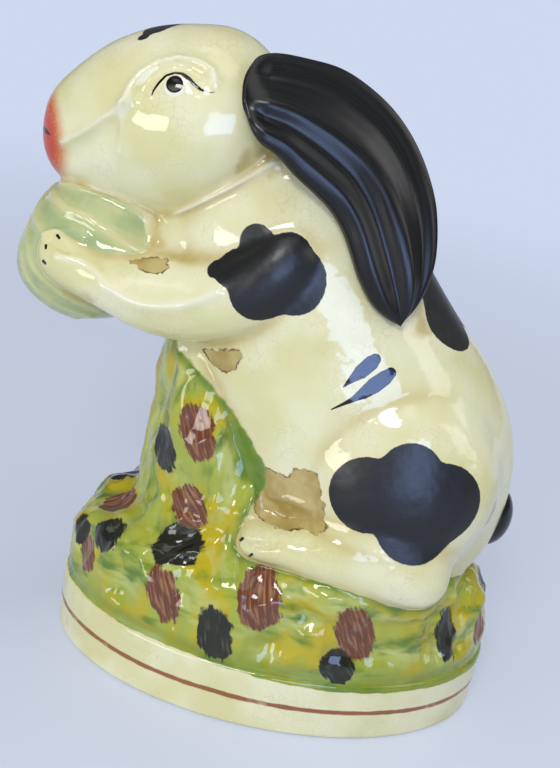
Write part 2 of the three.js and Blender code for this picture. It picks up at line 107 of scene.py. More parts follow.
def crowded(steps):
    """Places between 0 and 1 that crowd towards both: (1 - cos(angle)) / 2 at even angles."""
    return (1 - np.cos(np.pi * np.arange(1, steps) / steps)) / 2


def angles(count):
    """Even angles once round."""
    return 2 * np.pi * np.arange(count) / count


def loft(rail_a, rail_b, half_widths, across=None, steps=120, sides=160, square=2.0, relief=None):
    """Rings of points P(t, v) = middle(t) + bulge(cos v) * reach(t) + bulge(sin v) * width(t), where
    middle and reach are half the sum and half the difference of the rails, and bulge(w) is w to the
    power of 2 / square with its sign kept. A relief(t, v) lengthens both arms of the section. Without a
    direction across, it is square to the rails, and stays the same near the ends where they meet."""
    t, v = crowded(steps), angles(sides)
    a, b = curve(rail_a, t), curve(rail_b, t)
    half = curve(np.reshape(half_widths, (-1, 1)), t)
    middle, reach = (a + b) / 2, (a - b) / 2
    if across is None:
        ahead = unit(np.gradient(a, t, axis=0)) + unit(np.gradient(b, t, axis=0))
        steady = np.clip(np.arange(len(t)), steps // 8, len(t) - steps // 8)
        across = unit(np.cross(ahead, reach))[steady]
    lift = relief(t[:, None], v[None, :])[..., None] if relief else 0
    bulge = lambda w: (np.sign(w) * np.abs(w) ** (2 / square))[None, :, None]
    tall = np.linalg.norm(reach, axis=1)[:, None, None]
    wide = half[:, :, None]
    arm = bulge(np.cos(v)) * (tall + lift) * unit(reach)[:, None]
    wing = bulge(np.sin(v)) * (wide + lift) * (across * np.ones((len(t), 3)))[:, None]
    return middle[:, None] + arm + wing


def limb(path, up, aside, steps=90, sides=96):
    """Loft along a path, with an upright radius and a sideways radius at each of its points."""
    path, rise = np.asarray(path, float), np.outer(up, [0, 0, 1])
    return loft(path + rise, path - rise, aside, steps=steps, sides=sides)


def pebble(centre, half, steps=70, sides=96):
    """Ellipsoid: centre + half sizes * (sin u cos v, sin u sin v, cos u)."""
    u = np.pi * np.arange(1, steps)[:, None] / steps
    v = angles(sides)[None, :]
    ball = np.stack([np.sin(u) * np.cos(v), np.sin(u) * np.sin(v), np.cos(u) + 0 * v], axis=-1)
    return np.asarray(centre) + ball * half


def other_side(grid):
    """The same rings on the rabbit's right side: y changes sign."""
    return grid * [1, -1, 1]


# %% [markdown]
# ## Skins
#
# Rings become a mesh when neighbours are joined by quads and each end is drawn to the middle of its
# ring. A mirrored form comes out inside out, so the signed volume decides which way the faces turn.

# %% From rings to meshes


def ring_quads(order, sides):
    """Quads between each ring and the next, for rings taken in an order of their numbers."""
    here = np.asarray(order)[:, None] * sides + np.arange(sides)
    beside = np.roll(here, -1, axis=1)
    return np.stack([here[:-1], beside[:-1], beside[1:], here[1:]], axis=-1).reshape(-1, 4)


def skinned(grid):
    """Points and faces of the closed skin over rings. Faces turn round if the volume, a sum of
    tetrahedra from the origin, is negative."""
    rings, sides = grid.shape[:2]
    points = np.vstack([grid.reshape(-1, 3), grid[0].mean(axis=0), grid[-1].mean(axis=0)])
    quads = ring_quads(range(rings), sides)
    start, end = np.arange(sides), (rings - 1) * sides + np.arange(sides)
    first = np.stack([np.full(sides, rings * sides), np.roll(start, -1), start], axis=-1)
    last = np.stack([np.full(sides, rings * sides + 1), end, np.roll(end, -1)], axis=-1)
    tris = np.vstack([quads[:, [0, 1, 2]], quads[:, [0, 2, 3]], first, last])
    p, q, r = (points[tris[:, k]] for k in range(3))
    turn = 1 if np.einsum("ij,ij->", p, np.cross(q, r)) > 0 else -1
    return points, [face[::turn] for face in quads.tolist() + first.tolist() + last.tolist()]


def mesh_of(name, points, faces):
    """A smooth mesh in metres from points in millimetres."""
    mesh = bpy.data.meshes.new(name)
    mesh.from_pydata((np.asarray(points) * MILLIMETRE).tolist(), [], faces, shade_flat=False)
    return mesh


def linked(name, data):
    """A new object in the scene, with a mesh, a light or a camera as its data."""
    made = bpy.data.objects.new(name, data)
    bpy.context.collection.objects.link(made)
    return made


print("smooth meshes in units of", MILLIMETRE, "m")

# %% [markdown]
# ## Torso and head
#
# The torso is a pear that leans forwards, the head an egg with a tapered muzzle. Rows of the torso are
# back (depth, height), belly (depth, height) and half width, as shares of its box, with depth counted
# forwards from the rump. Rows of the head are the place from the nose, crown, jaw and half width.

# %% Torso and head
SIDEWAYS = np.array([[0.0, 1.0, 0.0]])

TORSO_ROWS = np.array([
    [0.33, 0.0, 0.33, 0.0, 0.02],
    [0.11, 0.03, 0.55, 0.0, 0.62],
    [0.03, 0.1, 0.67, 0.07, 0.89],
    [0.0, 0.22, 0.75, 0.19, 1.0],
    [0.01, 0.33, 0.82, 0.31, 1.0],
    [0.055, 0.43, 0.89, 0.42, 0.95],
    [0.13, 0.52, 0.95, 0.53, 0.89],
    [0.235, 0.61, 1.0, 0.64, 0.85],
    [0.33, 0.7, 1.0, 0.74, 0.78],
    [0.41, 0.79, 0.97, 0.81, 0.68],
    [0.51, 0.89, 0.92, 0.88, 0.56],
    [0.63, 0.97, 0.87, 0.94, 0.4],
    [0.77, 1.0, 0.77, 1.0, 0.02],
])
HEAD_ROWS = np.array([
    [0.0, 0.37, 0.37, 0.02],
    [0.02, 0.5, 0.19, 0.27],
    [0.093, 0.635, 0.07, 0.5],
    [0.227, 0.805, 0.03, 0.73],
    [0.387, 0.922, 0.01, 0.91],
    [0.56, 0.98, 0.0, 1.0],
    [0.707, 0.99, 0.05, 0.98],
    [0.84, 0.91, 0.16, 0.86],
    [0.947, 0.75, 0.34, 0.58],
    [1.0, 0.54, 0.54, 0.02],
])


def share_point(start, end, along, y, height):
    """A point from shares of the way from start to end, along x and up z, and its y in millimetres."""
    x = start[0] + np.asarray(along) * (end[0] - start[0])
    z = start[1] + np.asarray(height) * (end[1] - start[1])
    return np.stack(np.broadcast_arrays(x, y, z), axis=-1)


torso_point = partial(share_point, (torso_high[0], torso_low[2]), (torso_low[0], torso_high[2]))
head_point = partial(share_point, head_low[[0, 2]], head_high[[0, 2]])
torso_grid = loft(torso_point(TORSO_ROWS[:, 0], 0, TORSO_ROWS[:, 1]),
                  torso_point(TORSO_ROWS[:, 2], 0, TORSO_ROWS[:, 3]),
                  TORSO_ROWS[:, 4] * torso_high[1], SIDEWAYS, 130, 170, square=2.2)
head_grid = loft(head_point(HEAD_ROWS[:, 0], 0, HEAD_ROWS[:, 1]),
                 head_point(HEAD_ROWS[:, 0], 0, HEAD_ROWS[:, 2]),
                 HEAD_ROWS[:, 3] * head_high[1], SIDEWAYS, 110, 140)
print("torso rings", torso_grid.shape, "head rings", head_grid.shape)

# %% [markdown]
# ## Lettuce and legs
#
# The forelegs hold a folded lettuce under the chin, so they are placed from it. The haunch is a dome
# half sunk in the torso, and the foot a long limb that lies on the mound.

# %% Lettuce core and legs
LETTUCE_LENGTH = 52
LETTUCE_HEIGHT = 43
LETTUCE_WIDTH = 41
LETTUCE_ROWS = np.array([
    [0.05, 0.6, 0.6, 0.02],
    [0.1, 0.9, 0.36, 0.5],
    [0.24, 1.08, 0.14, 0.85],
    [0.46, 1.12, 0.02, 1.0],
    [0.68, 1.08, 0.0, 0.98],
    [0.85, 0.9, 0.09, 0.82],
    [0.96, 0.64, 0.22, 0.52],
    [0.995, 0.42, 0.42, 0.02],
])
lettuce_point = partial(share_point, (lettuce_low[0] + LETTUCE_LENGTH, lettuce_low[2]),
                        (lettuce_low[0], lettuce_low[2] + LETTUCE_HEIGHT))
leaf_grid = loft(lettuce_point(LETTUCE_ROWS[:, 0], 0, LETTUCE_ROWS[:, 1]),
                 lettuce_point(LETTUCE_ROWS[:, 0], 0, LETTUCE_ROWS[:, 2]),
                 LETTUCE_ROWS[:, 3] * LETTUCE_WIDTH / 2, SIDEWAYS, 110, 160)

SHOULDER_HALF = 15.5
ARM_HALF = 10.0
PAW_HALF = 8.0
ELBOW_SAG = np.array([0, -2.0, -9.0])
shoulder = torso_point(0.7, -0.66 * torso_high[1], 0.67)
paw = lettuce_point(0.71, -0.38 * LETTUCE_WIDTH, 0.55)
arm_path = [
    shoulder + [SHOULDER_HALF, 0, SHOULDER_HALF / 2],
    shoulder,
    shoulder + 0.3 * (paw - shoulder) + ELBOW_SAG,
    shoulder + 0.54 * (paw - shoulder) + 1.05 * ELBOW_SAG,
    shoulder + 0.76 * (paw - shoulder) + 0.75 * ELBOW_SAG,
    paw,
    paw + [-0.65 * PAW_HALF, PAW_HALF / 4, 0],
]
TIP = 0.1 * PAW_HALF
ARM_UP = [TIP, SHOULDER_HALF, 1.25 * ARM_HALF, 1.1 * ARM_HALF, 0.8 * ARM_HALF, PAW_HALF, TIP]
ARM_ASIDE = [TIP, 0.6 * SHOULDER_HALF, ARM_HALF, ARM_HALF, 0.9 * ARM_HALF, PAW_HALF, TIP]
foreleg_grid = limb(arm_path, ARM_UP, ARM_ASIDE)
CHEST_HALF = [15, 13, 17]
chest_grid = pebble(lettuce_point(-0.08, -0.17 * LETTUCE_WIDTH, 0.72), CHEST_HALF)

HAUNCH_HALF = np.array([32.5, 20.0, 31.5])
HAUNCH_BULGE = 6.5
THIGH_HALF, THIGH_SHIFT = [25, 14, 17], [-1.5, -6.5, -18.5]
FOOT_LENGTH = 66
FOOT_HALF = 8.5
haunch = torso_point(0.32, HAUNCH_HALF[1] - HAUNCH_BULGE - torso_high[1], 0.29)
haunch_grid = pebble(haunch, HAUNCH_HALF)
thigh_grid = pebble(haunch + THIGH_SHIFT, THIGH_HALF)
# shares of the foot's length from the heel, and of its half width inwards
along = np.array([-0.07, 0.05, 0.34, 0.67, 0.89, 0.945])
inwards = np.array([0.5, 0.2, -0.1, 0.0, 0.3, 0.4])
foot_path = np.stack([
    haunch[0] + (0.29 - along) * FOOT_LENGTH,
    -torso_high[1] + inwards * FOOT_HALF,
    GROUND_Z + np.array([8.4, 9.0, 9.8, 10.6, 9.4, 9.0]),
], axis=-1)
foot_grid = limb(foot_path, FOOT_HALF * np.array([0.1, 1.2, 1.08, 0.78, 0.66, 0.1]),
                 FOOT_HALF * np.array([0.1, 1, 1, 0.95, 0.75, 0.1]))
print("paw at", np.round(paw, 1), "haunch at", np.round(haunch, 1))

# %% [markdown]
# ## Mound
#
# The ground fills the plinth's oval and rises in a stump in front of the belly. Its rings run from the
# plinth up, each an oval between a front and a back, and smooth random lumps make the modelled turf.

# %% Mound
EDGE_ROUND = 1.8
SLOPE = 9
STUMP_FRONT = 52
STUMP_HALF = 29
STUMP_REACH = 6
# how far the lowest ring spreads over the plinth's rounded edge
SKIRT = 1.2
# height, size and seed of the turf's swells and furrows
SWELLS, FURROWS = (1.8, 11, 3), (2.6, 17, 8)


def wander(points, size, seed):
    """Smooth random field from -1 to 1: random numbers on a lattice of a given size, eased between
    the eight corners of each cell by the weights f * f * (3 - 2 f)."""
    lattice = np.random.default_rng(seed).uniform(-1, 1, (32, 32, 32))
    place = points / size
    cell = np.floor(place).astype(int)
    f = place - cell
    f = f * f * (3 - 2 * f)
    total = np.zeros(points.shape[:-1])
    for corner in np.ndindex(2, 2, 2):
        i = (cell + corner) % 32
        weight = np.where(corner, f, 1 - f).prod(axis=-1)
        total += weight * lattice[i[..., 0], i[..., 1], i[..., 2]]
    return total


def mound_rings(steps=150, sides=300):
    """Rings P(t, v) = (middle + half length * cos v, half width * sin v, height), all four from rows of
    height, front, back and half width. Lumps push them outwards, except at the two ends."""
    long, wide = plinth_high[0] - EDGE_ROUND, plinth_high[1] - EDGE_ROUND
    stump_top = (shoulder + 0.45 * (paw - shoulder) + ELBOW_SAG)[2] - PLINTH_TOP + STUMP_REACH
    rise = lambda share: MOUND_HEIGHT + share * (stump_top - MOUND_HEIGHT)
    rows = [
        [-1.0, long + SKIRT, long + SKIRT, wide + SKIRT],
        [0.2 * MOUND_HEIGHT, long, long, wide - 0.05 * SLOPE],
        [0.55 * MOUND_HEIGHT, long - 0.15 * SLOPE, long - 0.3 * SLOPE, wide - 0.12 * SLOPE],
        [0.82 * MOUND_HEIGHT, long - 0.55 * SLOPE, long - 0.9 * SLOPE, wide - 0.28 * SLOPE],
        [MOUND_HEIGHT, long - 1.75 * SLOPE, long - 1.8 * SLOPE, wide - 0.55 * SLOPE],
        [rise(0.1), STUMP_FRONT, 0.65 * STUMP_FRONT, 1.13 * STUMP_HALF],
        [rise(0.25), 0.985 * STUMP_FRONT, 0.15 * STUMP_FRONT, STUMP_HALF],
        [rise(0.45), STUMP_FRONT, -0.15 * STUMP_FRONT, 0.92 * STUMP_HALF],
        [rise(0.65), STUMP_FRONT, -0.35 * STUMP_FRONT, 0.78 * STUMP_HALF],
        [rise(0.82), 0.99 * STUMP_FRONT, -0.5 * STUMP_FRONT, 0.6 * STUMP_HALF],
        [rise(0.95), 0.96 * STUMP_FRONT, -0.7 * STUMP_FRONT, 0.34 * STUMP_HALF],
        [rise(1), 0.88 * STUMP_FRONT, -0.87 * STUMP_FRONT, 0.02 * STUMP_HALF],
    ]
    t = np.arange(steps + 1) / steps
    v = angles(sides)[None, :]
    height, front, back, half = (column[:, None] for column in curve(rows, t).T)
    ring = np.stack([(back - front) / 2 + (back + front) / 2 * np.cos(v), half * np.sin(v),
                     PLINTH_TOP + height + 0 * v], axis=-1)
    outwards = np.stack([np.cos(v) + 0 * height, np.sin(v) + 0 * height, 0 * v + 0 * height], axis=-1)
    fade = np.minimum(1, 5 * t)[:, None] * np.minimum(1, 5 * (1 - t))[:, None]
    lumps = SWELLS[0] * wander(ring, *SWELLS[1:]) - FURROWS[0] * np.abs(wander(ring, *FURROWS[1:])) + 1.0
    return ring + (fade * lumps)[..., None] * outwards


mound_grid = mound_rings()
# banks of turf that bed the feet and the rump
bank_path = foot_path[1:5] + [[6, 4, -12], [0, 2, -11], [0, 2, -12], [-8, 5, -13]]
bank_grid = limb(bank_path, [0.5, 8, 8, 0.5], [0.5, 9, 8.5, 0.5])
rump_path = np.array([[36, -37, -5], [47, -27, 0], [51, -10, 0], [51, 10, 0], [47, 27, 0], [36, 37, -5]])
rump_bank_grid = limb(rump_path + [0, 0, GROUND_Z], [0.5, 5, 6, 6, 5, 0.5], [0.5, 7, 7, 7, 7, 0.5])
print("mound rings", mound_grid.shape, "top", round(float(mound_grid[..., 2].max()), 1), "mm")

# %% [markdown]
# ## One skin of clay
#
# The potter lutes the sections with slip and smooths the joints, and the glaze then fills every corner.
# So the closed forms go into one mesh, a voxel remesh makes one skin of their union, and a few rounds
# of smoothing round the corners. Vertices are moved as arrays, so each round takes milliseconds.

# %% Fuse the forms
VOXEL = 0.84
PARTS = {
    "torso": [torso_grid, chest_grid, other_side(chest_grid)],
    "head": [head_grid],
    "foreleg_left": [foreleg_grid],
    "foreleg_right": [other_side(foreleg_grid)],
    "hind_leg_left": [haunch_grid, thigh_grid, foot_grid],
    "hind_leg_right": [other_side(haunch_grid), other_side(thigh_grid), other_side(foot_grid)],
    "lettuce": [leaf_grid],
    "mound": [mound_grid, bank_grid, other_side(bank_grid), rump_bank_grid],
}


def fused(grids, voxel):
    """Points in millimetres and quads of the skin around the union of closed forms."""
    points, faces = [], []
    for grid in grids:
        more, skin = skinned(grid)
        start = sum(map(len, points))
        points.append(more)
        faces += [[start + i for i in face] for face in skin]
    scratch = linked("scratch", mesh_of("scratch", np.vstack(points), faces))
    remesh = scratch.modifiers.new("remesh", "REMESH")
    remesh.mode = "VOXEL"
    remesh.voxel_size = voxel * MILLIMETRE
    skin = scratch.evaluated_get(bpy.context.evaluated_depsgraph_get()).to_mesh()
    made = np.zeros(len(skin.vertices) * 3)
    corners = np.zeros(len(skin.loops), int)
    skin.vertices.foreach_get("co", made)
    skin.loops.foreach_get("vertex_index", corners)
    bpy.data.meshes.remove(scratch.data)
    return made.reshape(-1, 3) / MILLIMETRE, corners.reshape(-1, 4)


clay, quads = fused([grid for grids in PARTS.values() for grid in grids], VOXEL)
sides_of_quads = np.vstack([quads[:, [k, (k + 1) % 4]] for k in range(4)])
edges = np.unique(np.sort(sides_of_quads, axis=1), axis=0)
print("one skin:", len(clay), "vertices,", len(quads), "quads")

# %% Smooth the joints


def spread(values):
    """Mean of the neighbours of each vertex, from sums over the edges."""
    columns = np.reshape(values, (len(clay), -1)).T
    total = np.stack([np.bincount(edges[:, 0], column[edges[:, 1]], len(clay))
                      + np.bincount(edges[:, 1], column[edges[:, 0]], len(clay)) for column in columns])
    return (total / np.bincount(edges.ravel(), minlength=len(clay))).T.reshape(np.shape(values))


def normals_of(points):
    """Unit normals: the cross products of the quads' diagonals, summed at their corners."""
    face = np.cross(points[quads[:, 2]] - points[quads[:, 0]], points[quads[:, 3]] - points[quads[:, 1]])
    total = np.stack([np.bincount(quads.ravel(), np.repeat(face[:, k], 4), len(points)) for k in range(3)])
    return unit(total.T)


def smoothed(points, rounds, pull=0.5):
    """Each round moves every vertex a share of the way to the mean of its neighbours."""
    for _ in range(rounds):
        points = points + pull * (spread(points) - points)
    return points


FILLET_DEPTH = 0.25
first_pass = smoothed(clay, 6)
hollow = np.einsum("ij,ij->i", smoothed(first_pass, 14) - first_pass, normals_of(first_pass))
# hollows of the skin: the glaze pooled darker there, and that darker colour also paints the shade in them
corner = np.clip(smoothed(np.clip(hollow, 0, None), 6) / FILLET_DEPTH, 0, 1)
# a wide share of the hollows: glaze pooled there, and it also paints the shade in them
pool_and_shade = np.clip(2.5 * smoothed(corner, 40), 0, 1)
clay = smoothed(first_pass, 26, 0.6 * corner[:, None])
print("vertices in a filled corner:", int((corner > 0.5).sum()))

# %% [markdown]
# ## Which section is which
#
# The skin is one, but the library wants the sections by name. Each vertex takes the name of the form
# nearest to it. Spreading those names over their neighbours for a few rounds smooths the borders, and
# the spread shares of mound and lettuce also tell where green glaze stops and cream begins.

# %% Names of the sections
SECTIONS = list(PARTS)
samples = [(number, grid.reshape(-1, 3)) for number, name in enumerate(SECTIONS) for grid in PARTS[name]]
owners = np.concatenate([np.full(len(points), number) for number, points in samples])
nearest = kdtree.KDTree(len(owners))
for index, point in enumerate(np.vstack([points for _, points in samples])):
    nearest.insert(point, index)
nearest.balance()
owner = owners[np.fromiter((nearest.find(point)[1] for point in clay), int, len(clay))]
shares = smoothed(np.eye(len(SECTIONS))[owner], 8)
quad_owner = shares[quads].sum(axis=1).argmax(axis=1)
MOUND, TORSO, LETTUCE = (SECTIONS.index(name) for name in ("mound", "torso", "lettuce"))
turf = 2 * shares[:, MOUND] - 1
verge = smoothed(shares[:, MOUND], 50)
# towards the chest, the leaf's wash ends at a slanted rim
RIM_X, RIM_Z, RIM_LEAN, RIM_BLUR = -58.6, 137.0, 0.45, 3
before_rim = (RIM_X - RIM_LEAN * (clay[:, 2] - RIM_Z) - clay[:, 0]) / RIM_BLUR
leaf = np.minimum(2 * shares[:, LETTUCE] - 1, before_rim)
print({name: int((quad_owner == number).sum()) for number, name in enumerate(SECTIONS)})

# %% [markdown]
# ## Modelling the face, paws and leaf
#
# The modeller raised a brow over each eye, a ridge from the eye to the nose, the rims and veins of the
# leaf, and cut the toes. Each is a line on the skin, and the clay swells or sinks along it by a profile
# that falls off with distance. The lines are given for the rabbit's left side, and both sides take them
# because y is folded to the left. First, some corners are smoothed more, where a thumb filled them.

# %% Lines on the face
BROW = [
    (-70.9, -23.1, 180.7), (-70.9, -22.3, 182.9), (-70.5, -21.4, 185.1), (-68.4, -20.2, 188.6),
    (-64.4, -19.2, 192.0), (-59.2, -18.9, 194.4), (-53.5, -19.8, 194.8), (-49.4, -21.1, 193.5),
    (-47.9, -22.6, 191.2),
]
UPPER_LID = [
    (-64.2, -24.0, 184.2), (-64.0, -23.5, 185.6), (-62.8, -22.7, 187.9), (-61.2, -22.0, 189.8),
    (-59.1, -21.9, 190.8), (-56.5, -22.4, 190.8), (-53.9, -23.4, 189.8), (-51.7, -24.1, 188.7),
]
EYE = np.array([-58.4, -23.6, 188.1])
SOCKET = [point + 0.3 * (EYE - point) for point in np.array(BROW[1:8])]
MUZZLE_RIDGE = [
    (-70.9, -23.1, 180.7), (-72.5, -23.1, 178.5), (-77.4, -21.6, 174.4), (-83.0, -19.0, 169.1),
    (-89.1, -15.1, 164.2),
]
CHEEK_FRONT = [(-71.2, -23.1, 180.2), (-71.2, -23.8, 177.2), (-71.1, -24.2, 173.0), (-71.2, -23.4, 166.6)]
CHEEK_HOLLOW = [(-74.5, -22.8, 171.5), (-80.4, -20.0, 166.5), (-85.9, -16.4, 161.5)]
NECK_FOLD = [
    (-56.1, -10.7, 147.6), (-50.7, -16.5, 152.8), (-45.7, -18.9, 156.9), (-38.2, -20.4, 163.0),
    (-33.6, -20.2, 166.6), (-27.4, -19.2, 171.9),
]

# %% Lines on paws, feet and leaf
ARM_RIDGE = [
    (-84.6, -24.5, 132.5), (-80.7, -25.1, 133.0), (-76.4, -25.6, 132.9), (-73.2, -26.7, 131.5),
    (-71.2, -27.5, 130.4), (-69.0, -28.4, 128.2), (-65.4, -29.1, 127.5), (-61.7, -29.9, 126.4),
    (-57.0, -30.7, 126.0), (-51.4, -31.7, 126.9), (-46.0, -32.4, 128.6), (-40.5, -32.8, 131.4),
    (-35.9, -32.8, 134.7),
]
ARM_HOLLOW = [
    (-80.6, -19.9, 138.6), (-74.3, -20.7, 136.9), (-69.6, -21.7, 135.4), (-63.0, -22.4, 135.2),
    (-53.6, -26.9, 135.1), (-45.2, -28.3, 136.7), (-40.0, -27.0, 138.5),
]
PAW_TOP = [
    (-89.9, -19.0, 136.6), (-88.2, -18.9, 137.9), (-86.5, -18.8, 138.7), (-83.9, -19.0, 139.3),
    (-81.0, -19.5, 139.2), (-77.8, -20.0, 138.4),
]
PAW_CLEFTS = [[(-88.5, -21.0, 136.2), (-82.0, -24.0, 134.5)], [(-89.6, -23.6, 132.6), (-83.0, -26.2, 131.5)]]
TOE_CLEFT = [(-14.5, -39.0, 59.3), (-10.2, -40.7, 61.2), (-5.5, -41.2, 62.9)]
THIGH_RIDGE = [(7.2, -37.0, 69.6), (10.5, -39.6, 67.4), (18.8, -42.6, 65.1)]
FOOT_CREASE = [(8.0, -38.0, 66.0), (24.0, -42.0, 64.0), (44.0, -41.0, 64.0), (52.0, -36.0, 64.0)]
HAUNCH_BACK = [
    (43.0, -27.5, 112.0), (48.9, -25.5, 106.9), (54.2, -20.9, 102.6), (58.3, -18.2, 96.1),
    (60.0, -19.0, 89.2), (61.8, -18.3, 80.0), (60.9, -19.5, 74.7), (58.3, -22.7, 71.5),
    (54.5, -24.8, 64.4),
]
HAUNCH_LOW = [(14.0, -42.0, 68.5), (44.0, -40.5, 70.0)]
HAUNCH_HIGH = [(18.0, -40.5, 99.0), (42.0, -39.0, 98.0)]
LEDGE = [(-9.0, -29.6, 73.1), (-4.1, -32.1, 74.7), (1.6, -33.9, 74.7)]
LEAF_RIM = [
    (-89.1, -7.0, 150.0), (-86.0, -9.7, 151.0), (-81.6, -11.9, 151.9), (-77.4, -13.0, 152.1),
    (-72.0, -13.6, 151.5), (-66.7, -13.4, 150.0), (-62.5, -13.1, 148.2), (-59.4, -12.7, 146.2),
    (-58.1, -12.7, 145.0), (-57.7, -13.9, 142.4), (-57.6, -15.0, 139.2), (-57.0, -16.0, 136.4),
]
LEAF_FOLD = [
    (-91.8, -7.5, 146.6), (-89.0, -12.4, 146.0), (-85.5, -15.6, 144.8), (-82.3, -16.8, 144.6),
    (-78.1, -17.6, 144.0), (-74.3, -18.4, 142.4), (-69.4, -18.6, 140.6), (-64.7, -18.2, 138.5),
    (-60.0, -17.3, 136.9), (-57.0, -16.4, 136.0),
]
LEAF_FRONT = [
    (-92.7, 0.1, 147.3), (-95.2, -1.3, 143.9), (-95.9, -7.2, 141.0), (-94.3, -13.1, 138.6),
    (-91.1, -16.8, 137.2), (-89.9, -19.0, 136.6),
]
LEAF_VEINS = [
    [(-97.4, -2.4, 141.0), (-97.8, -9.0, 136.0), (-96.0, -14.6, 131.5), (-95.0, -15.8, 128.4),
     (-93.2, -16.7, 125.5), (-90.4, -17.5, 123.3), (-86.0, -17.9, 120.7), (-81.7, -17.3, 118.4),
     (-76.0, -15.9, 116.5), (-71.5, -13.9, 115.3)],
    [(-98.9, -10.7, 129.8), (-97.4, -13.6, 126.1), (-95.2, -14.0, 121.2), (-91.2, -14.1, 117.2),
     (-86.2, -14.1, 114.6), (-80.3, -13.0, 112.7), (-74.7, -10.9, 111.7)],
    [(-99.5, 0.0, 141.0), (-101.0, -4.0, 133.0), (-99.5, -8.0, 124.0), (-93.0, -9.0, 115.0),
     (-80.0, -6.0, 108.5)],
    [(-101.5, 0.0, 131.0), (-98.0, 0.0, 118.0), (-88.0, 0.0, 109.5), (-74.0, 0.0, 108.0)],
]

# %% Fill some corners


def folded(points):
    """Points with y below zero, so that a rule for the left side holds for both."""
    return np.stack([points[:, 0], -np.abs(points[:, 1]), points[:, 2]], axis=1)


def distance_to(line, points):
    """Distance of each point from a chain of straight bits: the nearest of its feet on them."""
    line = np.asarray(line, float)
    best = np.full(len(points), np.inf)
    for start, end in zip(line[:-1], line[1:]):
        bit = end - start
        share = np.clip((points - start) @ bit / max(bit @ bit, 1e-9), 0, 1)
        best = np.minimum(best, np.linalg.norm(points - start - share[:, None] * bit, axis=1))
    return best


def raised(lines, points):
    """Sum over the lines of height * exp(-(distance / width) ** power)."""
    return sum(height * np.exp(-(distance_to(line, points) / width) ** power)
               for line, height, width, power in lines)


# line and width of the filling; the last one also loses its pooled glaze and the painted shade with it
FILLED = [(ARM_HOLLOW, 5), (FOOT_CREASE, 6), (LEAF_RIM[-4:], 6), (HAUNCH_BACK, 13)]
THUMB_ROUNDS = 130
bells = [raised([(line, 1, width, 2)], folded(clay)) for line, width in FILLED]
clay = smoothed(clay, THUMB_ROUNDS, 0.6 * np.max(bells, axis=0)[:, None])
corner, pool_and_shade = corner * (1 - bells[-1]), pool_and_shade * (1 - bells[-1])
print("vertices in a thumbed corner:", int((np.max(bells, axis=0) > 0.5).sum()))

# %% Raise and sink the lines
# line, height in mm (below zero it sinks), width of the profile in mm, its power (low is a crisp crest)
MODELLING = [
    (BROW, 1.7, 1.5, 1.1), (SOCKET, -1.2, 1.9, 2), ([EYE, EYE], 1.0, 4.0, 2), (UPPER_LID, 0.7, 0.8, 1.5),
    (MUZZLE_RIDGE, 2.0, 1.4, 1.1), (CHEEK_FRONT, 1.3, 1.5, 1.2), (CHEEK_HOLLOW, -1.3, 4.2, 2),
    (NECK_FOLD, 1.9, 1.5, 1.2), (ARM_RIDGE, 1.7, 2.0, 1.1), (PAW_TOP, 0.9, 1.3, 1.3),
    (PAW_CLEFTS[0], -0.9, 0.9, 2), (PAW_CLEFTS[1], -0.9, 0.9, 2), (TOE_CLEFT, -1.3, 1.1, 2),
    (THIGH_RIDGE, 0.8, 1.6, 1.3), (LEDGE, 1.2, 1.6, 1.3),
]
HAUNCH_LINES = [(HAUNCH_LOW, 1.3, 12, 2), (HAUNCH_HIGH, -1.3, 11, 2)]
LEAF_LINES = [(LEAF_RIM, 1.3, 1.3, 1.3), (LEAF_FOLD, 1.3, 1.8, 1.3), (LEAF_FRONT, 1.0, 1.5, 1.3)]
LEAF_LINES += [(line, 0.6, 1.2, 1.5) for line in LEAF_VEINS]
# height, size and seed of the crests on the turf, which stays inside a share of the plinth's oval
TURF_CRESTS = [(1.4, 10, 21), (0.8, 6, 22)]
OVAL_LIMIT = 0.992


def crests(size, seed):
    """Crisp ridges of turf that run downhill: 1 where a wandering field is zero, and less beside it."""
    return 1 - np.minimum(2.2 * np.abs(wander(clay * [1, 1, 0.6], size, seed)), 2)


left_side = folded(clay)
vein, crest, swell = (raised(lines, left_side) for lines in (LEAF_LINES, MODELLING, HAUNCH_LINES))
# 1 on open turf, 0 at its border and at the plinth
grown = np.clip((verge - 0.6) / 0.35, 0, 1) * np.clip((clay[:, 2] - PLINTH_TOP - 1) / 5, 0, 1)
tufts = sum(height * crests(size, seed) for height, size, seed in TURF_CRESTS)
lift = crest + swell + vein + grown * tufts
clay = clay + lift[:, None] * normals_of(clay)
reach = np.linalg.norm(clay[:, :2] / plinth_high[:2], axis=1)
clay[:, :2] *= np.where(grown > 0, np.minimum(1, OVAL_LIMIT / reach), 1)[:, None]
left_side = folded(clay)
skin_normals = normals_of(clay)
print("modelled by up to", round(float(np.abs(lift).max()), 2), "mm")

# %% [markdown]
# ## Painted spots, dabs and stains
#
# The painter laid black spots as groups of round lobes, and brown and black dabs over the turf. Each is
# a distance in millimetres, below zero inside the paint, kept on the vertices for the glaze to read.
# Outlines of stains and of tans are flat shapes, laid on the rabbit's side along one slanted direction.
# The tans also paint the shade under ear, paw and leaf.

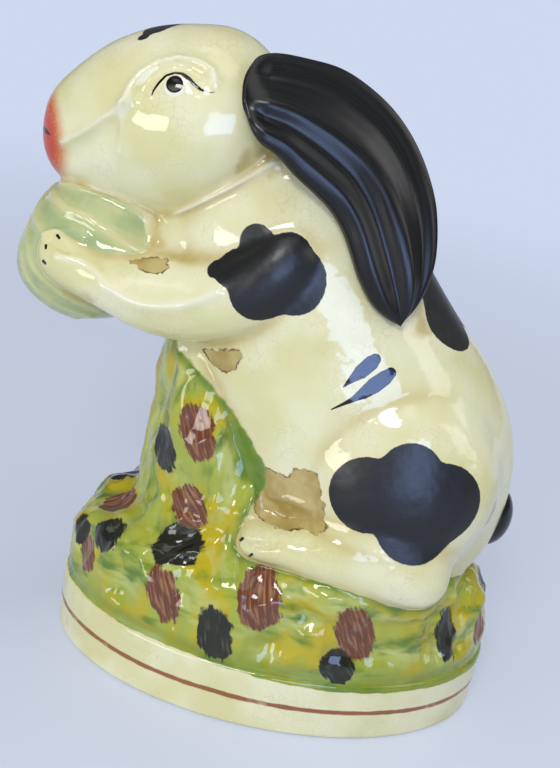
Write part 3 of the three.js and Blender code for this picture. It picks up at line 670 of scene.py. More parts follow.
# %% Spots
# centre and radius of each lobe, spot by spot, for both sides; the blaze crosses the brow once
SPOTS = [
    [((-28.1, -26.7, 150.2), 5.0), ((-18.2, -30.5, 149.2), 7.0), ((-14.7, -31.0, 143.1), 8.8),
     ((-14.6, -30.6, 140.0), 8.3), ((-23.7, -33.0, 137.7), 9.3), ((-32.5, -30.4, 142.2), 6.2),
     ((-37.9, -28.3, 140.1), 2.8)],
    [((18.6, -41.5, 85.2), 11.8), ((29.9, -41.2, 94.3), 9.8), ((41.0, -39.8, 86.4), 12.8),
     ((35.2, -41.4, 78.9), 12.4)],
    [((27.5, -6.5, 140.5), 11.0), ((33.0, -8.5, 134.0), 11.2), ((29.5, -11.5, 134.5), 8.6)],
]
BLAZE = [
    ((-71.2, -8.6, 196.6), 1.8), ((-68.9, -4.3, 199.2), 3.7), ((-67.2, -0.5, 200.5), 4.4),
    ((-65.5, 3.0, 201.2), 4.6),
]
LOBE_EASE = 0.8


def lobed(points, lobes):
    """Distance to a group of balls whose meeting corners are eased: -e * log(sum of exp(-distance / e))."""
    far = np.array([np.linalg.norm(points - centre, axis=1) - radius for centre, radius in lobes])
    low = far.min(axis=0)
    return low - LOBE_EASE * np.log(np.exp(-(far - low) / LOBE_EASE).sum(axis=0))


spot = np.min([lobed(left_side, lobes) for lobes in SPOTS] + [lobed(clay, BLAZE)], axis=0)
print("spotted vertices", int((spot < 0).sum()))

# %% Stains
SEEN_RIGHT = np.array([0.9791, 0.0753, 0.1892])
SEEN_UP = np.array([-0.2036, 0.362, 0.9097])
# outlines in the slanted plane spanned by the two directions above
STAINS = [
    [(1.2, 66.7), (5.0, 64.9), (8.3, 63.9), (9.7, 66.4), (13.1, 66.3), (16.2, 65.3), (17.5, 63.7),
     (18.0, 57.4), (19.2, 55.8), (19.0, 51.2), (19.8, 49.2), (16.9, 45.8), (12.7, 48.1), (8.2, 47.4),
     (5.0, 48.1), (2.3, 49.2), (-1.0, 51.0), (-2.5, 53.2), (-2.0, 60.5)],
    [(-39.1, 128.0), (-36.8, 126.9), (-35.1, 125.6), (-33.3, 123.9), (-28.5, 124.1), (-26.9, 125.6),
     (-27.2, 128.3), (-30.9, 129.5)],
    [(-17.6, 102.3), (-6.0, 101.9), (-5.2, 100.7), (-7.7, 96.2), (-10.6, 95.3), (-15.2, 97.9)],
]
# tan washes at the neck under the ear, under the ear's tip, under the paw and by the leaf's rim: tan glaze,
# and painted shade where those overhang the body
TANS = [
    [(-2.8, 157.7), (0.6, 159.1), (4.2, 156.5), (6.5, 152.2), (2.2, 150.5), (-2.9, 152.3), (-6.9, 151.2),
     (-6.2, 153.8)],
    [(46.4, 115.7), (48.0, 116.1), (49.5, 110.2), (50.4, 106.4), (46.8, 104.5), (44.4, 106.2)],
    [(-59.3, 120.6), (-53.2, 119.2), (-48.0, 117.0), (-50.0, 115.8), (-56.5, 117.3), (-59.7, 118.5)],
    [(-30.6, 144.6), (-28.2, 142.9), (-29.1, 136.1), (-27.5, 132.1), (-29.9, 129.2), (-32.5, 131.8),
     (-31.3, 137.7)],
]
# the border of the turf on the stump, closed far outside it
STUMP_EDGE = [
    (-26.0, 110.0), (-25.9, 103.2), (-20.2, 97.2), (-14.9, 91.3), (-9.1, 84.1), (-4.6, 76.9), (-0.6, 70.4),
    (1.6, 64.4), (0.9, 60.2), (-2.7, 54.2), (-5.4, 50.3), (-5.4, -50.0), (-150.0, -50.0), (-150.0, 110.0),
]
# a distance that is well clear of every stain
CLEAR = 20.0


def outline_distance(points, outline):
    """Distance to a closed outline, below zero inside. A point is inside if a ray from it crosses the
    outline an odd number of times."""
    inside = np.zeros(len(points), bool)
    closed = np.array([*outline, outline[0]])
    far = distance_to(closed, points)
    for start, end in zip(closed[:-1], closed[1:]):
        bit = end - start
        rise = bit[1] if abs(bit[1]) > 1e-9 else 1e-9
        crosses = (start[1] > points[:, 1]) != (end[1] > points[:, 1])
        inside ^= crosses & (points[:, 0] < start[0] + (points[:, 1] - start[1]) / rise * bit[0])
    return np.where(inside, -far, far)


seen = np.stack([left_side @ SEEN_RIGHT, left_side @ SEEN_UP], axis=1)
stain = np.min([outline_distance(seen, outline) for outline in STAINS], axis=0)
stain = np.where(clay[:, 1] < 0, stain, CLEAR)
tan = np.min([outline_distance(seen, outline) for outline in TANS], axis=0)
above_ground = np.clip((clay[:, 2] - GROUND_Z - 4) / 6, 0, 1)
on_stump = above_ground * (shares[:, [MOUND, TORSO]].sum(axis=1) > 0.5)
turf = turf + on_stump * (np.clip(-outline_distance(seen, STUMP_EDGE) / 4, -1, 1) - turf)
print("stained vertices", int((stain < 0).sum()), "tanned", int((tan < 0).sum()))

# %% Dabs on the turf
BROWN, BLACK = 0.0, 1.0
# dabs left of this line are on both sides, shifted on the right one
BOTH_SIDES_Y, ASKEW = -10, np.array([5.0, 0.0, -1.5])
DAB_POWER, DAB_DEPTH = 2.5, 6
# middle and end of each dab, its half width and its colour
DABS = [
    ((-34.3, -25.6, 87.5), (-30.7, -27.2, 79.6), 5.3, BROWN),
    ((-32.5, -27.0, 62.4), (-28.2, -30.5, 57.9), 5.8, BROWN),
    ((-57.0, -7.6, 49.0), (-52.7, -6.9, 53.4), 5.8, BROWN),
    ((-35.3, -40.0, 37.2), (-31.8, -40.8, 29.1), 5.0, BROWN),
    ((-5.6, -44.1, 44.2), (-2.7, -44.4, 35.3), 6.4, BROWN),
    ((-63.0, -21.2, 34.8), (-60.7, -24.6, 30.6), 5.0, BROWN),
    ((25.1, -42.1, 39.2), (29.9, -40.6, 29.8), 5.8, BROWN),
    ((-43.5, -19.0, 76.7), (-41.8, -20.6, 69.6), 5.8, BLACK),
    ((-34.1, -33.4, 51.1), (-26.6, -33.2, 54.7), 5.8, BLACK),
    ((-56.7, -23.6, 44.4), (-55.0, -28.2, 41.2), 5.2, BLACK),
    ((-66.9, -14.9, 39.1), (-66.6, -16.6, 34.8), 4.2, BLACK),
    ((-16.8, -44.6, 30.8), (-14.3, -44.2, 21.8), 5.4, BLACK),
    ((21.9, -42.6, 26.8), (25.6, -41.8, 21.7), 5.2, BLACK),
    ((55.1, -25.5, 35.7), (57.9, -25.9, 26.9), 4.0, BLACK),
    ((-58.0, 12.5, 48.2), (-54.5, 14.5, 52.0), 6.5, BLACK),
    ((66.0, -8.0, 30.0), (66.5, -9.5, 24.0), 5.0, BROWN),
    ((67.0, 6.0, 38.0), (66.0, 8.5, 32.0), 4.6, BLACK),
]


def dab_fields(middle, end, half_width):
    """For one brush dab: places across and along it, and the distance to its outline, in which the
    shares of half width and half length, each to a power, add up to 1."""
    middle = np.asarray(middle)
    arm = np.asarray(end) - middle
    along, half_length = unit(arm), np.linalg.norm(arm)
    outwards = skin_normals[np.argmin(np.linalg.norm(clay - middle, axis=1))]
    across = unit(np.cross(outwards, along))
    both = left_side + np.where(clay[:, 1:2] > 0, ASKEW, 0)
    offset = (both if middle[1] < BOTH_SIDES_Y else clay) - middle
    u, v, depth = offset @ across, offset @ along, offset @ outwards
    shares_of_half = np.abs(u) / half_width, np.abs(v) / half_length
    outline = sum(share ** DAB_POWER for share in shares_of_half) ** (1 / DAB_POWER)
    return u, v, np.maximum((outline - 1) * half_width, np.abs(depth) - DAB_DEPTH)


fields = np.array([dab_fields(middle, end, width) for middle, end, width, _ in DABS])
which = fields[:, 2].argmin(axis=0)
dab_across, dab_along, dab = fields[which, :, np.arange(len(clay))].T
dab_tone = np.array([tone for *_, tone in DABS])[which]
print("dabs", len(DABS), "vertices under a dab", int((dab < 0).sum()))

# %% [markdown]
# ## Walls of clay
#
# A hollow figure has thin walls, so each section becomes a closed wall: its quads, the same quads two
# millimetres inside, and a strip along the rim. The normals of the whole skin are kept on the sections,
# so the light runs over their borders as if there were none.

# %% Sections as thin walls
WALL = 2.0


def layer(mesh, name, values):
    """One number per vertex, for the glaze to read by name."""
    mesh.attributes.new(name, "FLOAT", "POINT").data.foreach_set("value", np.asarray(values, np.float32))


def piece(name, mesh, slot, *nodes):
    """A piece that rides on the figure, with the CAD nodes whose place it takes hidden."""
    made = linked(name + "_skin", mesh)
    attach(made, "root")
    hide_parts(*nodes)
    return made


def wall_section(name, slot, *nodes):
    """The section's quads as a closed wall, with the painted fields on its vertices."""
    chosen = quads[quad_owner == SECTIONS.index(name)]
    used, outer = np.unique(chosen, return_inverse=True)
    outer = outer.reshape(-1, 4)
    rims = np.vstack([outer[:, [k, (k + 1) % 4]] for k in range(4)])
    _, first, count = np.unique(np.sort(rims, axis=1), axis=0, return_index=True, return_counts=True)
    a, b = rims[first[count == 1]].T
    inner = len(used)
    strip = np.stack([b, a, a + inner, b + inner], axis=1)
    faces = np.vstack([outer, outer[:, ::-1] + inner, strip])
    mesh = mesh_of(name, np.vstack([clay[used], clay[used] - WALL * skin_normals[used]]), faces.tolist())
    mesh.normals_split_custom_set_from_vertices(np.vstack([skin_normals[used], -skin_normals[used]]))
    painted = {"corner": corner, "turf": turf, "verge": verge, "leaf": leaf, "vein": vein, "crest": crest,
               "spot": spot, "stain": stain, "tan": tan, "pool_and_shade": pool_and_shade}
    if name == "mound":
        painted |= {"dab": dab, "dab_across": dab_across, "dab_along": dab_along, "dab_tone": dab_tone}
    for field, values in painted.items():
        layer(mesh, field, np.tile(values[used], 2))
    return piece(name, mesh, slot, *nodes)


torso = wall_section("torso", "cream_glaze", "torso_left_half", "torso_right_half")
head = wall_section("head", "cream_glaze", "head_left_half", "head_right_half")
legs = [wall_section(name, "cream_glaze", name) for name in SECTIONS[2:6]]
lettuce = wall_section("lettuce", "leaf_glaze", "lettuce")
mound = wall_section("mound", "grass_glaze", "mound")
print({made.name: len(made.data.polygons) for made in [torso, head, *legs, lettuce, mound]})

# %% [markdown]
# ## Ears
#
# The lop ears lie back over the shoulders. They are thin, with a rim and two long folds on the outer
# face, so each is its own loft between the upper and the lower edge, pushed into the clay at its root.

# %% Ears
EAR_LENGTH = 81.5
EAR_WIDTH = 32
EAR_THICKNESS = 11
EAR_FALL = np.radians(47)
EAR_LEAN = 1.05
EAR_SPLAY = 4
EAR_BOW = 3
# upper edge (along, over) and lower edge (along, over), as shares of length and width from the root
EAR_ROWS = np.array([
    [-0.052, 0.12, 0.131, -0.178],
    [-0.014, 0.275, 0.197, -0.163],
    [0.056, 0.448, 0.266, -0.103],
    [0.148, 0.644, 0.351, -0.065],
    [0.249, 0.773, 0.439, -0.01],
    [0.368, 0.867, 0.519, 0.029],
    [0.493, 0.899, 0.603, 0.024],
    [0.621, 0.865, 0.685, -0.019],
    [0.745, 0.768, 0.778, -0.077],
    [0.883, 0.547, 0.876, -0.1],
    [0.969, 0.263, 0.949, -0.064],
    [1.0, 0.0, 1.0, 0.0],
])
# place of each fold across the ear (1 at the upper edge, -1 at the lower), height and half width
EAR_FOLDS = [
    (0.95, 0.4, 0.05), (0.45, -2.0, 0.36), (-0.12, 1.2, 0.13), (-0.46, -1.5, 0.18), (-0.75, 0.5, 0.12),
]
FOLD_DRIFT = 0.28
EAR_ROUND = 0.05
# the front edge bows forwards by so many millimetres, over this share of the length
EAR_FRONT, FRONT_SHARE = 2.4, 0.1
EAR_STEPS, EAR_SIDES = 150, 200


def ear_edge(a, o):
    """An edge point: down the fall of the ear by a, up over the back by o, leaning in and swung out."""
    root = head_point(0.803, -0.85 * head_high[1], 0.82)
    down = np.array([np.cos(EAR_FALL), 0, -np.sin(EAR_FALL)])
    over = np.array([np.sin(EAR_FALL), 0, np.cos(EAR_FALL)])
    lean = EAR_LEAN * (1 - 0.7 * a) * o * EAR_WIDTH
    out = EAR_SPLAY * a + EAR_BOW * np.sin(np.pi * a)
    sideways = np.outer(lean - out, [0, 1, 0])
    return root + np.outer(a * EAR_LENGTH, down) + np.outer(o * EAR_WIDTH, over) + sideways


def ear_folds(t, v):
    """Bell-shaped folds across the outer face, which drift to the upper edge and die out at the tip, less
    a quarter round at the front edge: 1 - sqrt(1 - w * w), where w falls from 1 at the edge to 0."""
    face = np.clip(np.sin(v), 0, None) ** 0.5
    across = np.cos(v) - FOLD_DRIFT * t ** 2 * np.sin(v) ** 2
    folds = sum(height * np.exp(-((across - place) / width) ** 2) for place, height, width in EAR_FOLDS)
    blunt = 1 - np.sqrt(1 - np.clip(1 - t / EAR_ROUND, 0, 1) ** 2)
    return face * folds * np.clip(12 * t, 0, 1) * np.clip(5 * (1 - t), 0, 1) - 2 * blunt


ear_half = EAR_THICKNESS / 2 * np.sin(np.pi * (np.arange(len(EAR_ROWS)) + 0.2) / 11.7) ** 0.5
ear_grid = loft(ear_edge(*EAR_ROWS[:, :2].T), ear_edge(*EAR_ROWS[:, 2:].T), ear_half,
                steps=EAR_STEPS, sides=EAR_SIDES, square=2.6, relief=ear_folds)
bow = np.exp(-crowded(EAR_STEPS)[:, None] / FRONT_SHARE) * np.sin(angles(EAR_SIDES)) ** 2
ear_grid = ear_grid - EAR_FRONT * bow[..., None] * [1, 0, 0.2]


def ear(name, grid):
    """An ear with its places along and round it kept for the brush marks."""
    mesh = mesh_of(name, *skinned(grid))
    rings, sides = grid.shape[:2]
    layer(mesh, "along", np.append(np.repeat(np.linspace(0, 1, rings), sides), [0, 1]))
    layer(mesh, "across", np.append(np.tile(np.cos(angles(sides)), rings), [0, 0]))
    return piece(name, mesh, "black_enamel", name)


# the right ear hangs a little lower
EAR_DROP = [0, 0, -3.5]
ears = [ear("ear_left", ear_grid), ear("ear_right", other_side(ear_grid) + EAR_DROP)]
TAIL_SHIFT, TAIL_GROWTH = [-4.6, 0, 0.8], [4, 0, -0.6]
tail_grid = pebble((tail_low + tail_high) / 2 + TAIL_SHIFT, (tail_high - tail_low) / 2 + TAIL_GROWTH)
tail = piece("tail", mesh_of("tail", *skinned(tail_grid)), "black_enamel", "tail")
print("ears", len(ears[0].data.polygons), "faces each")

# %% [markdown]
# ## Plinth and base plate
#
# The plinth is one profile carried round an oval: a wall with rounded edges and a rebate underneath,
# where a plate of bare clay closes the hollow. The plate has a hole that lets out hot air in the kiln.

# %% Plinth and base plate
PLINTH_WALL = 8
PLATE_THICKNESS = 5
PLATE_LEDGE = 3
SLIP_GAP = 0.3
VENT_RADIUS = 7
VENT_X = 34
OVAL_STEPS = 320
SHARP = np.radians(50)


def oval(inset, z):
    """Points round the plinth's oval, moved inwards square to it, one ring for each inset and height."""
    v = angles(OVAL_STEPS)
    long, wide = plinth_high[0], plinth_high[1]
    edge = np.stack([long * np.cos(v), wide * np.sin(v), 0 * v], axis=-1)
    inwards = -unit(np.stack([wide * np.cos(v), long * np.sin(v), 0 * v], axis=-1))
    up = np.asarray(z, float)[:, None, None] * [0, 0, 1]
    return edge[None] + np.asarray(inset, float)[:, None, None] * inwards[None] + up


def ring_tube(profile):
    """Points and quads of a closed profile carried round: the last ring joins the first."""
    rings, sides = profile.shape[:2]
    return profile.reshape(-1, 3), ring_quads([*range(rings), 0], sides).tolist()


bend = np.linspace(0, np.pi / 2, 7)
foot_edge = [(EDGE_ROUND * (1 - np.sin(b)), EDGE_ROUND * (1 - np.cos(b))) for b in bend]
wall = [(0.0, z) for z in np.linspace(EDGE_ROUND, PLINTH_TOP - EDGE_ROUND, 8)[1:-1]]
top_edge = [(EDGE_ROUND * (1 - np.cos(b)), PLINTH_TOP - EDGE_ROUND * (1 - np.sin(b))) for b in bend]
rebate = PLATE_THICKNESS + SLIP_GAP
inside = [(PLINTH_WALL, PLINTH_TOP), (PLINTH_WALL, rebate), (PLINTH_WALL - PLATE_LEDGE, rebate),
          (PLINTH_WALL - PLATE_LEDGE, 0.0)]
profile = np.array(foot_edge + wall + top_edge + inside)
plinth_mesh = mesh_of("plinth", *ring_tube(oval(*profile.T)))
plinth_mesh.set_sharp_from_angle(angle=SHARP)
plinth = piece("plinth", plinth_mesh, "cream_glaze", "plinth")

v = angles(OVAL_STEPS)
vent = np.stack([VENT_X + VENT_RADIUS * np.cos(v), VENT_RADIUS * np.sin(v), 0 * v], axis=-1)
rim = oval([PLINTH_WALL - PLATE_LEDGE + SLIP_GAP], [0])[0]
share = np.linspace(0, 1, 9)[:, None, None]
under = vent + share * (rim - vent)
upper = under[::-1] + [0, 0, PLATE_THICKNESS]
plate_mesh = mesh_of("base_plate", *ring_tube(np.concatenate([under, upper])))
plate_mesh.set_sharp_from_angle(angle=SHARP)
base_plate = piece("base_plate", plate_mesh, "bisque", "base_plate")
print("plinth", len(plinth_mesh.polygons), "faces, plate", len(plate_mesh.polygons), "faces")

# %% [markdown]
# ## Writing glazes as nodes
#
# All glazes are node materials that read Object coordinates in millimetres and the painted fields. A
# few helpers keep them short: one adds a node, the others do sums, blends, soft steps and noise. Each
# finds its node tree from the outputs that it is given, such as the place on the object.

# %% Node helpers
GLAZE_IOR = 1.52


def add(tree, kind, inputs=None, out=0, **settings):
    """A new shader node. Inputs are numbers, colours or outputs of other nodes."""
    node = tree.nodes.new("ShaderNode" + kind)
    for name, value in settings.items():
        setattr(node, name, value)
    for name, value in (inputs or {}).items():
        if isinstance(value, bpy.types.NodeSocket):
            tree.links.new(value, node.inputs[name])
        else:
            node.inputs[name].default_value = value
    return node.outputs[out]


def tree_of(*values):
    """The node tree of the first value that is an output of a node."""
    return next(value for value in values if isinstance(value, bpy.types.NodeSocket)).id_data


def maths(operation, *values):
    """One sum of one, two or three values."""
    return add(tree_of(*values), "Math", dict(enumerate(values)), operation=operation)


times = partial(maths, "MULTIPLY")
times_plus = partial(maths, "MULTIPLY_ADD")
most = partial(maths, "MAXIMUM")
least = partial(maths, "MINIMUM")


def vectors(operation, *values, out=0):
    """One sum of vectors. Dot product, distance and length come from the second output."""
    return add(tree_of(*values), "VectorMath", dict(enumerate(values)), out, operation=operation)


def scaled(vector, factor):
    """A vector times a number."""
    return add(tree_of(vector, factor), "VectorMath", {0: vector, 3: factor}, operation="SCALE")


def step(value, start, end):
    """0 at start, 1 at end, and a smooth ramp between."""
    return add(tree_of(value), "MapRange", {0: value, 1: start, 2: end}, interpolation_type="SMOOTHSTEP")


def blend(share, below, above, strength=1.0):
    """The colour above laid over the colour below, by a share from 0 to 1 times a strength."""
    share = share if strength == 1 else times(share, strength)
    pair = [value if isinstance(value, bpy.types.NodeSocket) else (*value, 1.0) for value in (below, above)]
    return add(tree_of(share), "Mix", {0: share, 6: pair[0], 7: pair[1]}, 2, data_type="RGBA")


def cloud(where, size, detail=2.0):
    """Soft noise from 0 to 1 with blotches of a size in millimetres."""
    return add(tree_of(where), "TexNoise", {"Vector": where, "Scale": 1 / size, "Detail": detail})


def patches(where, size, low, high, detail=2.0):
    """0 where that noise is below low, 1 where it is above high."""
    return step(cloud(where, size, detail), low, high)


def field(where, name):
    """A painted field of the mesh."""
    return add(tree_of(where), "Attribute", out=2, attribute_name=name)


def apart(where):
    """The three numbers of a place."""
    return add(tree_of(where), "SeparateXYZ", {0: where}).node.outputs


def glazed(name, recipe, *pieces, last=None):
    """Gives pieces a new shiny material. Its recipe turns the place on the object into colour, roughness,
    height, the depth of that height as a bump in millimetres, and gloss. A last step may cover it."""
    material = bpy.data.materials.new(name)
    material.use_nodes = True
    tree = material.node_tree
    tree.nodes.clear()
    where = scaled(add(tree, "TexCoord", out=3), 1 / MILLIMETRE)
    colour, roughness, height, depth, gloss = recipe(where)
    bump = add(tree, "Bump", {"Strength": 1.0, "Distance": depth * MILLIMETRE, "Height": height})
    shader = add(tree, "BsdfPrincipled", {"Base Color": colour, "Roughness": roughness, "IOR": GLAZE_IOR,
                                          "Specular IOR Level": gloss, "Normal": bump})
    surface = last(where, shader) if last else shader
    tree.links.new(surface, tree.nodes.new("ShaderNodeOutputMaterial").inputs["Surface"])
    for made in pieces:
        made.data.materials.append(material)


print("node helpers ready")

# %% [markdown]
# ## Lines of the brush
#
# Lashes, claws and the two leaf-shaped strokes on the side are a few touches of a fine brush. Each is a
# chain of tapered capsules: the distance to a straight bit, less a radius that changes along the bit.
# Nodes work them out, so they stay sharp however coarse the mesh is.

# %% Brush lines


def on_the_side(where):
    """The place laid along the slanted direction, with y turned to the left side so that one line serves
    both: a place in the plane of the stains, and the second of its two numbers."""
    x, y, z = apart(where)
    left = add(tree_of(where), "CombineXYZ", {0: x, 1: times(maths("ABSOLUTE", y), -1.0), 2: z})
    flat = [vectors("DOT_PRODUCT", left, tuple(axis), out=1) for axis in (SEEN_RIGHT, SEEN_UP)]
    return add(tree_of(where), "CombineXYZ", dict(enumerate(flat))), flat[1]


def touch(side, start, end, first, last):
    """Distance in millimetres to a capsule from start to end whose radius goes from first to last."""
    start, bit = np.append(start, 0.0), np.append(np.subtract(end, start), 0.0)
    offset = vectors("SUBTRACT", side, tuple(start))
    share = vectors("DOT_PRODUCT", offset, tuple(bit / (bit @ bit)), out=1)
    share = add(tree_of(side), "Clamp", {0: share})
    away = vectors("DISTANCE", offset, scaled(tuple(bit), share), out=1)
    return maths("SUBTRACT", away, times_plus(share, last - first, first))


def brush_line(side, points, radii):
    """Distance to a chain of touches: the least of them."""
    bits = zip(points[:-1], points[1:], radii[:-1], radii[1:])
    return reduce(least, [touch(side, *bit) for bit in bits])


def inked(distance):
    """1 under the brush and 0 beside it."""
    return step(distance, 0.12, -0.1)


# points in the slanted plane of the stains, and the brush's radius at each
LASH = [
    (-29.8, 171.8), (-29.3, 173.1), (-27.8, 175.1), (-25.8, 177.1), (-23.3, 177.8), (-21.3, 177.5),
    (-19.6, 176.1), (-18.1, 174.5), (-16.3, 173.0), (-14.3, 172.2), (-12.4, 172.3),
]
LASH_RADII = [0.14, 0.26, 0.36, 0.36, 0.38, 0.55, 0.62, 0.48, 0.36, 0.16, 0.07]
NOSTRIL, NOSTRIL_RADII = [(-64.6, 168.3), (-63.3, 166.3), (-61.9, 165.0)], [0.3, 0.6, 0.25]
CLAWS = [
    [(-59.9, 135.6), (-59.3, 134.8)], [(-63.2, 132.6), (-63.2, 131.8)], [(-64.2, 128.1), (-63.5, 127.4)],
    [(-5.7, 44.8), (-6.5, 44.0)], [(-2.9, 40.1), (-3.7, 39.2)],
]
CLAW_RADII = [0.45, 0.4]
# with each stroke, how far from its start the paint stays thick
LEAF_STROKES = [
    ([(24.2, 91.0), (26.3, 92.9), (29.3, 95.4), (32.2, 97.9), (33.4, 99.0)], [0.2, 0.95, 2.1, 2.2, 1.7], 2.0),
    ([(20.8, 84.4), (24.5, 86.1), (27.2, 87.4), (30.2, 89.2), (33.2, 91.4), (36.3, 93.6), (38.0, 95.0)],
     [0.2, 0.5, 0.85, 1.75, 2.35, 2.2, 1.7], 6.5),
]
print("lash touches", len(LASH) - 1, "claws", len(CLAWS))

# %% [markdown]
# ## Glaze of the figure
#
# The clear lead glaze is faintly yellow, pools darker in corners and has crazed with age, and dirt marks the
# finest cracks. The darker corners and the tan washes also paint the shade in hollows and under ear, paw
# and leaf, and pale crests of thin glaze also paint highlights. The same glaze runs over cream clay, leaf
# and turf, so one function writes it for every section and adds the paint that section carries: eyes on
# the head, claws on the legs, dabs on the turf.

# %% Cream layers
CREAM, IVORY = (0.70, 0.67, 0.35), (0.81, 0.79, 0.55)
# pooled glaze also paints shade in corners, and thin glaze on crests also paints highlights
POOLED_AND_SHADE, CRAZED, THIN_GLAZE_AND_HIGHLIGHT = (0.47, 0.34, 0.08), (0.40, 0.35, 0.21), (0.86, 0.85, 0.70)
STAINED, STAINED_THIN, STAIN_EDGE = (0.36, 0.245, 0.05), (0.52, 0.41, 0.15), (0.13, 0.065, 0.02)
# tan of the washes, which also paints the shade in hollows and under ear, paw and leaf
TANNED_AND_SHADE = (0.50, 0.39, 0.12)
ENAMEL, ENAMEL_THIN = (0.002, 0.002, 0.0022), (0.007, 0.0075, 0.009)
# size of the cells, size of the dirty patches, strength of the dirt
CRAZING = [(2.7, 16, 0.22), (1.5, 12, 0.2)]
CRACK_PUSH = (1.2, 1.2, 1.2)
RAGGED_EDGE = 1.15


def crazing(where, colour):
    """Coarse and fine cracks, each dirty only here and there: thin lines between random cells, which are
    pushed about by noise."""
    tree = tree_of(where)
    for size, patch, strength in CRAZING:
        pushed = add(tree, "TexNoise", {"Vector": where, "Scale": 0.25, "Detail": 2.0}, 1)
        pushed = vectors("MULTIPLY_ADD", pushed, CRACK_PUSH, where)
        cell = add(tree, "TexVoronoi", {"Vector": pushed, "Scale": 1 / size}, feature="DISTANCE_TO_EDGE")
        dirt = times(step(cell, 0.05, 0.01), patches(where, patch, 0.42, 0.72))
        colour = blend(dirt, colour, CRAZED, strength)
    return colour


def bare_cream(where, size):
    """Cream clay in soft blotches under a crazed glaze."""
    return crazing(where, blend(patches(where, size, 0.32, 0.66), CREAM, IVORY))


def tan_edge(where):
    """Distance to the tans, with an edge that wanders."""
    return times_plus(cloud(where, 5, 3.0), 5.0, field(where, "tan"))


def cream_layers(where):
    """Cream with tans and pooled corners, which also paint shade, crests pale with thin glaze, which
    also paint highlights, and brown stains.
    """
    # tans and the wide pool: tan glaze, and painted shade in the hollows and under ear, paw and leaf
    soft = most(step(tan_edge(where), 4.0, 1.0), times(field(where, "pool_and_shade"), 0.7))
    soft = times(soft, patches(where, 13, 0.25, 0.65, 3.0))
    colour = blend(soft, bare_cream(where, 24), TANNED_AND_SHADE, 0.75)
    # glaze pooled darker in the corners, which also paints the shade there
    colour = blend(times(field(where, "corner"), cloud(where, 9)), colour, POOLED_AND_SHADE, 1.3)
    # crests lighter where the glaze is thin, and as a painted highlight along the ridges
    colour = blend(step(field(where, "crest"), 0.4, 1.6), colour, THIN_GLAZE_AND_HIGHLIGHT, 0.6)
    ragged = times_plus(cloud(where, 1.8, 4.0), 2.4, field(where, "stain"))
    tone = blend(patches(where, 7, 0.35, 0.7, 4.0), STAINED, STAINED_THIN)
    colour = blend(step(ragged, 1.3, 1.0), colour, tone, 0.9)
    edge = step(maths("ABSOLUTE", maths("SUBTRACT", ragged, RAGGED_EDGE)), 0.4, 0.05)
    return blend(times(edge, patches(where, 4, 0.4, 0.6)), colour, STAIN_EDGE)


print("cream", CREAM, "enamel", ENAMEL)

# %% Eyes and nose
BLUSH, BLUSH_THIN = (0.54, 0.045, 0.008), (0.63, 0.17, 0.02)
NOSE, NOSE_SQUEEZE = (-98.0, 0.0, 162.5), (1.0, 0.75, 1.0)
IRIS, EYE_WHITE = (0.10, 0.095, 0.06), (0.84, 0.83, 0.72)
PUPIL, PUPIL_RADIUS = (-23.4, 174.5, 0.0), 2.45
WHITE = (PUPIL[0] - 0.1, PUPIL[1] - 0.7, 0.0)
# bluish colour that paints the reflection of the sky in the thin paint of the leaf strokes
SKY_SHEEN_BLUE = (0.01, 0.02, 0.07)


def face_paint(where, colour):
    """Red stippled nose, a dark pupil with an olive iris in a pale eye, and a lash drawn over it."""
    side, up = on_the_side(where)
    away = vectors("DISTANCE", vectors("MULTIPLY", where, NOSE_SQUEEZE), NOSE, out=1)
    colour = blend(step(away, 17.0, 12.0), colour, BLUSH_THIN, 0.85)
    stipple = times_plus(cloud(where, 0.7, 3.0), 6.0, away)
    colour = blend(step(stipple, 17.5, 13.0), colour, BLUSH)
    white = vectors("DISTANCE", side, WHITE, out=1)
    colour = blend(step(white, PUPIL_RADIUS + 0.6, PUPIL_RADIUS), colour, EYE_WHITE)
    inside = vectors("DISTANCE", side, PUPIL, out=1)
    lower = times(step(up, PUPIL[1] + 0.4, PUPIL[1] - 1.4),
                  step(inside, PUPIL_RADIUS - 0.3, PUPIL_RADIUS - 0.7))
    iris = blend(lower, ENAMEL, IRIS)
    colour = blend(step(inside, PUPIL_RADIUS + 0.1, PUPIL_RADIUS - 0.15), colour, iris)
    for points, radii in [(LASH, LASH_RADII), (NOSTRIL, NOSTRIL_RADII)]:
        colour = blend(inked(brush_line(side, points, radii)), colour, ENAMEL)
    return colour


def claw_paint(where, colour):
    """Short black dashes at the toes."""
    side, _ = on_the_side(where)
    for points in CLAWS:
        colour = blend(inked(brush_line(side, points, CLAW_RADII)), colour, ENAMEL)
    return colour


def leaf_paint(where, colour):
    """Two strokes pressed down and lifted, black at the start and the rim, and thin where the brush lay
    flat, with a bluish colour there that paints the reflection of the sky."""
    side, _ = on_the_side(where)
    for points, radii, stem in LEAF_STROKES:
        far = brush_line(side, points, radii)
        from_start = vectors("DISTANCE", side, (*points[0], 0.0), out=1)
        # the thin part of each stroke, which also carries the painted reflection
        thin = times(step(far, -0.15, -0.55), step(from_start, stem, stem + 1.6))
        colour = blend(inked(far), colour, blend(thin, ENAMEL, SKY_SHEEN_BLUE))
    return colour


print("eye at", EYE)

# %% [markdown]
# ## Turf and leaf
#
# The turf is washed in yellow and greens that ran together, darker along its border and in its corners,
# which also paints the shade where it meets the body, with brown and black dabs. Streaks follow each
# dab's own length, from fields that hold the place across and along it.
# The leaf has a thin celadon wash that ran off its veins into the furrows.

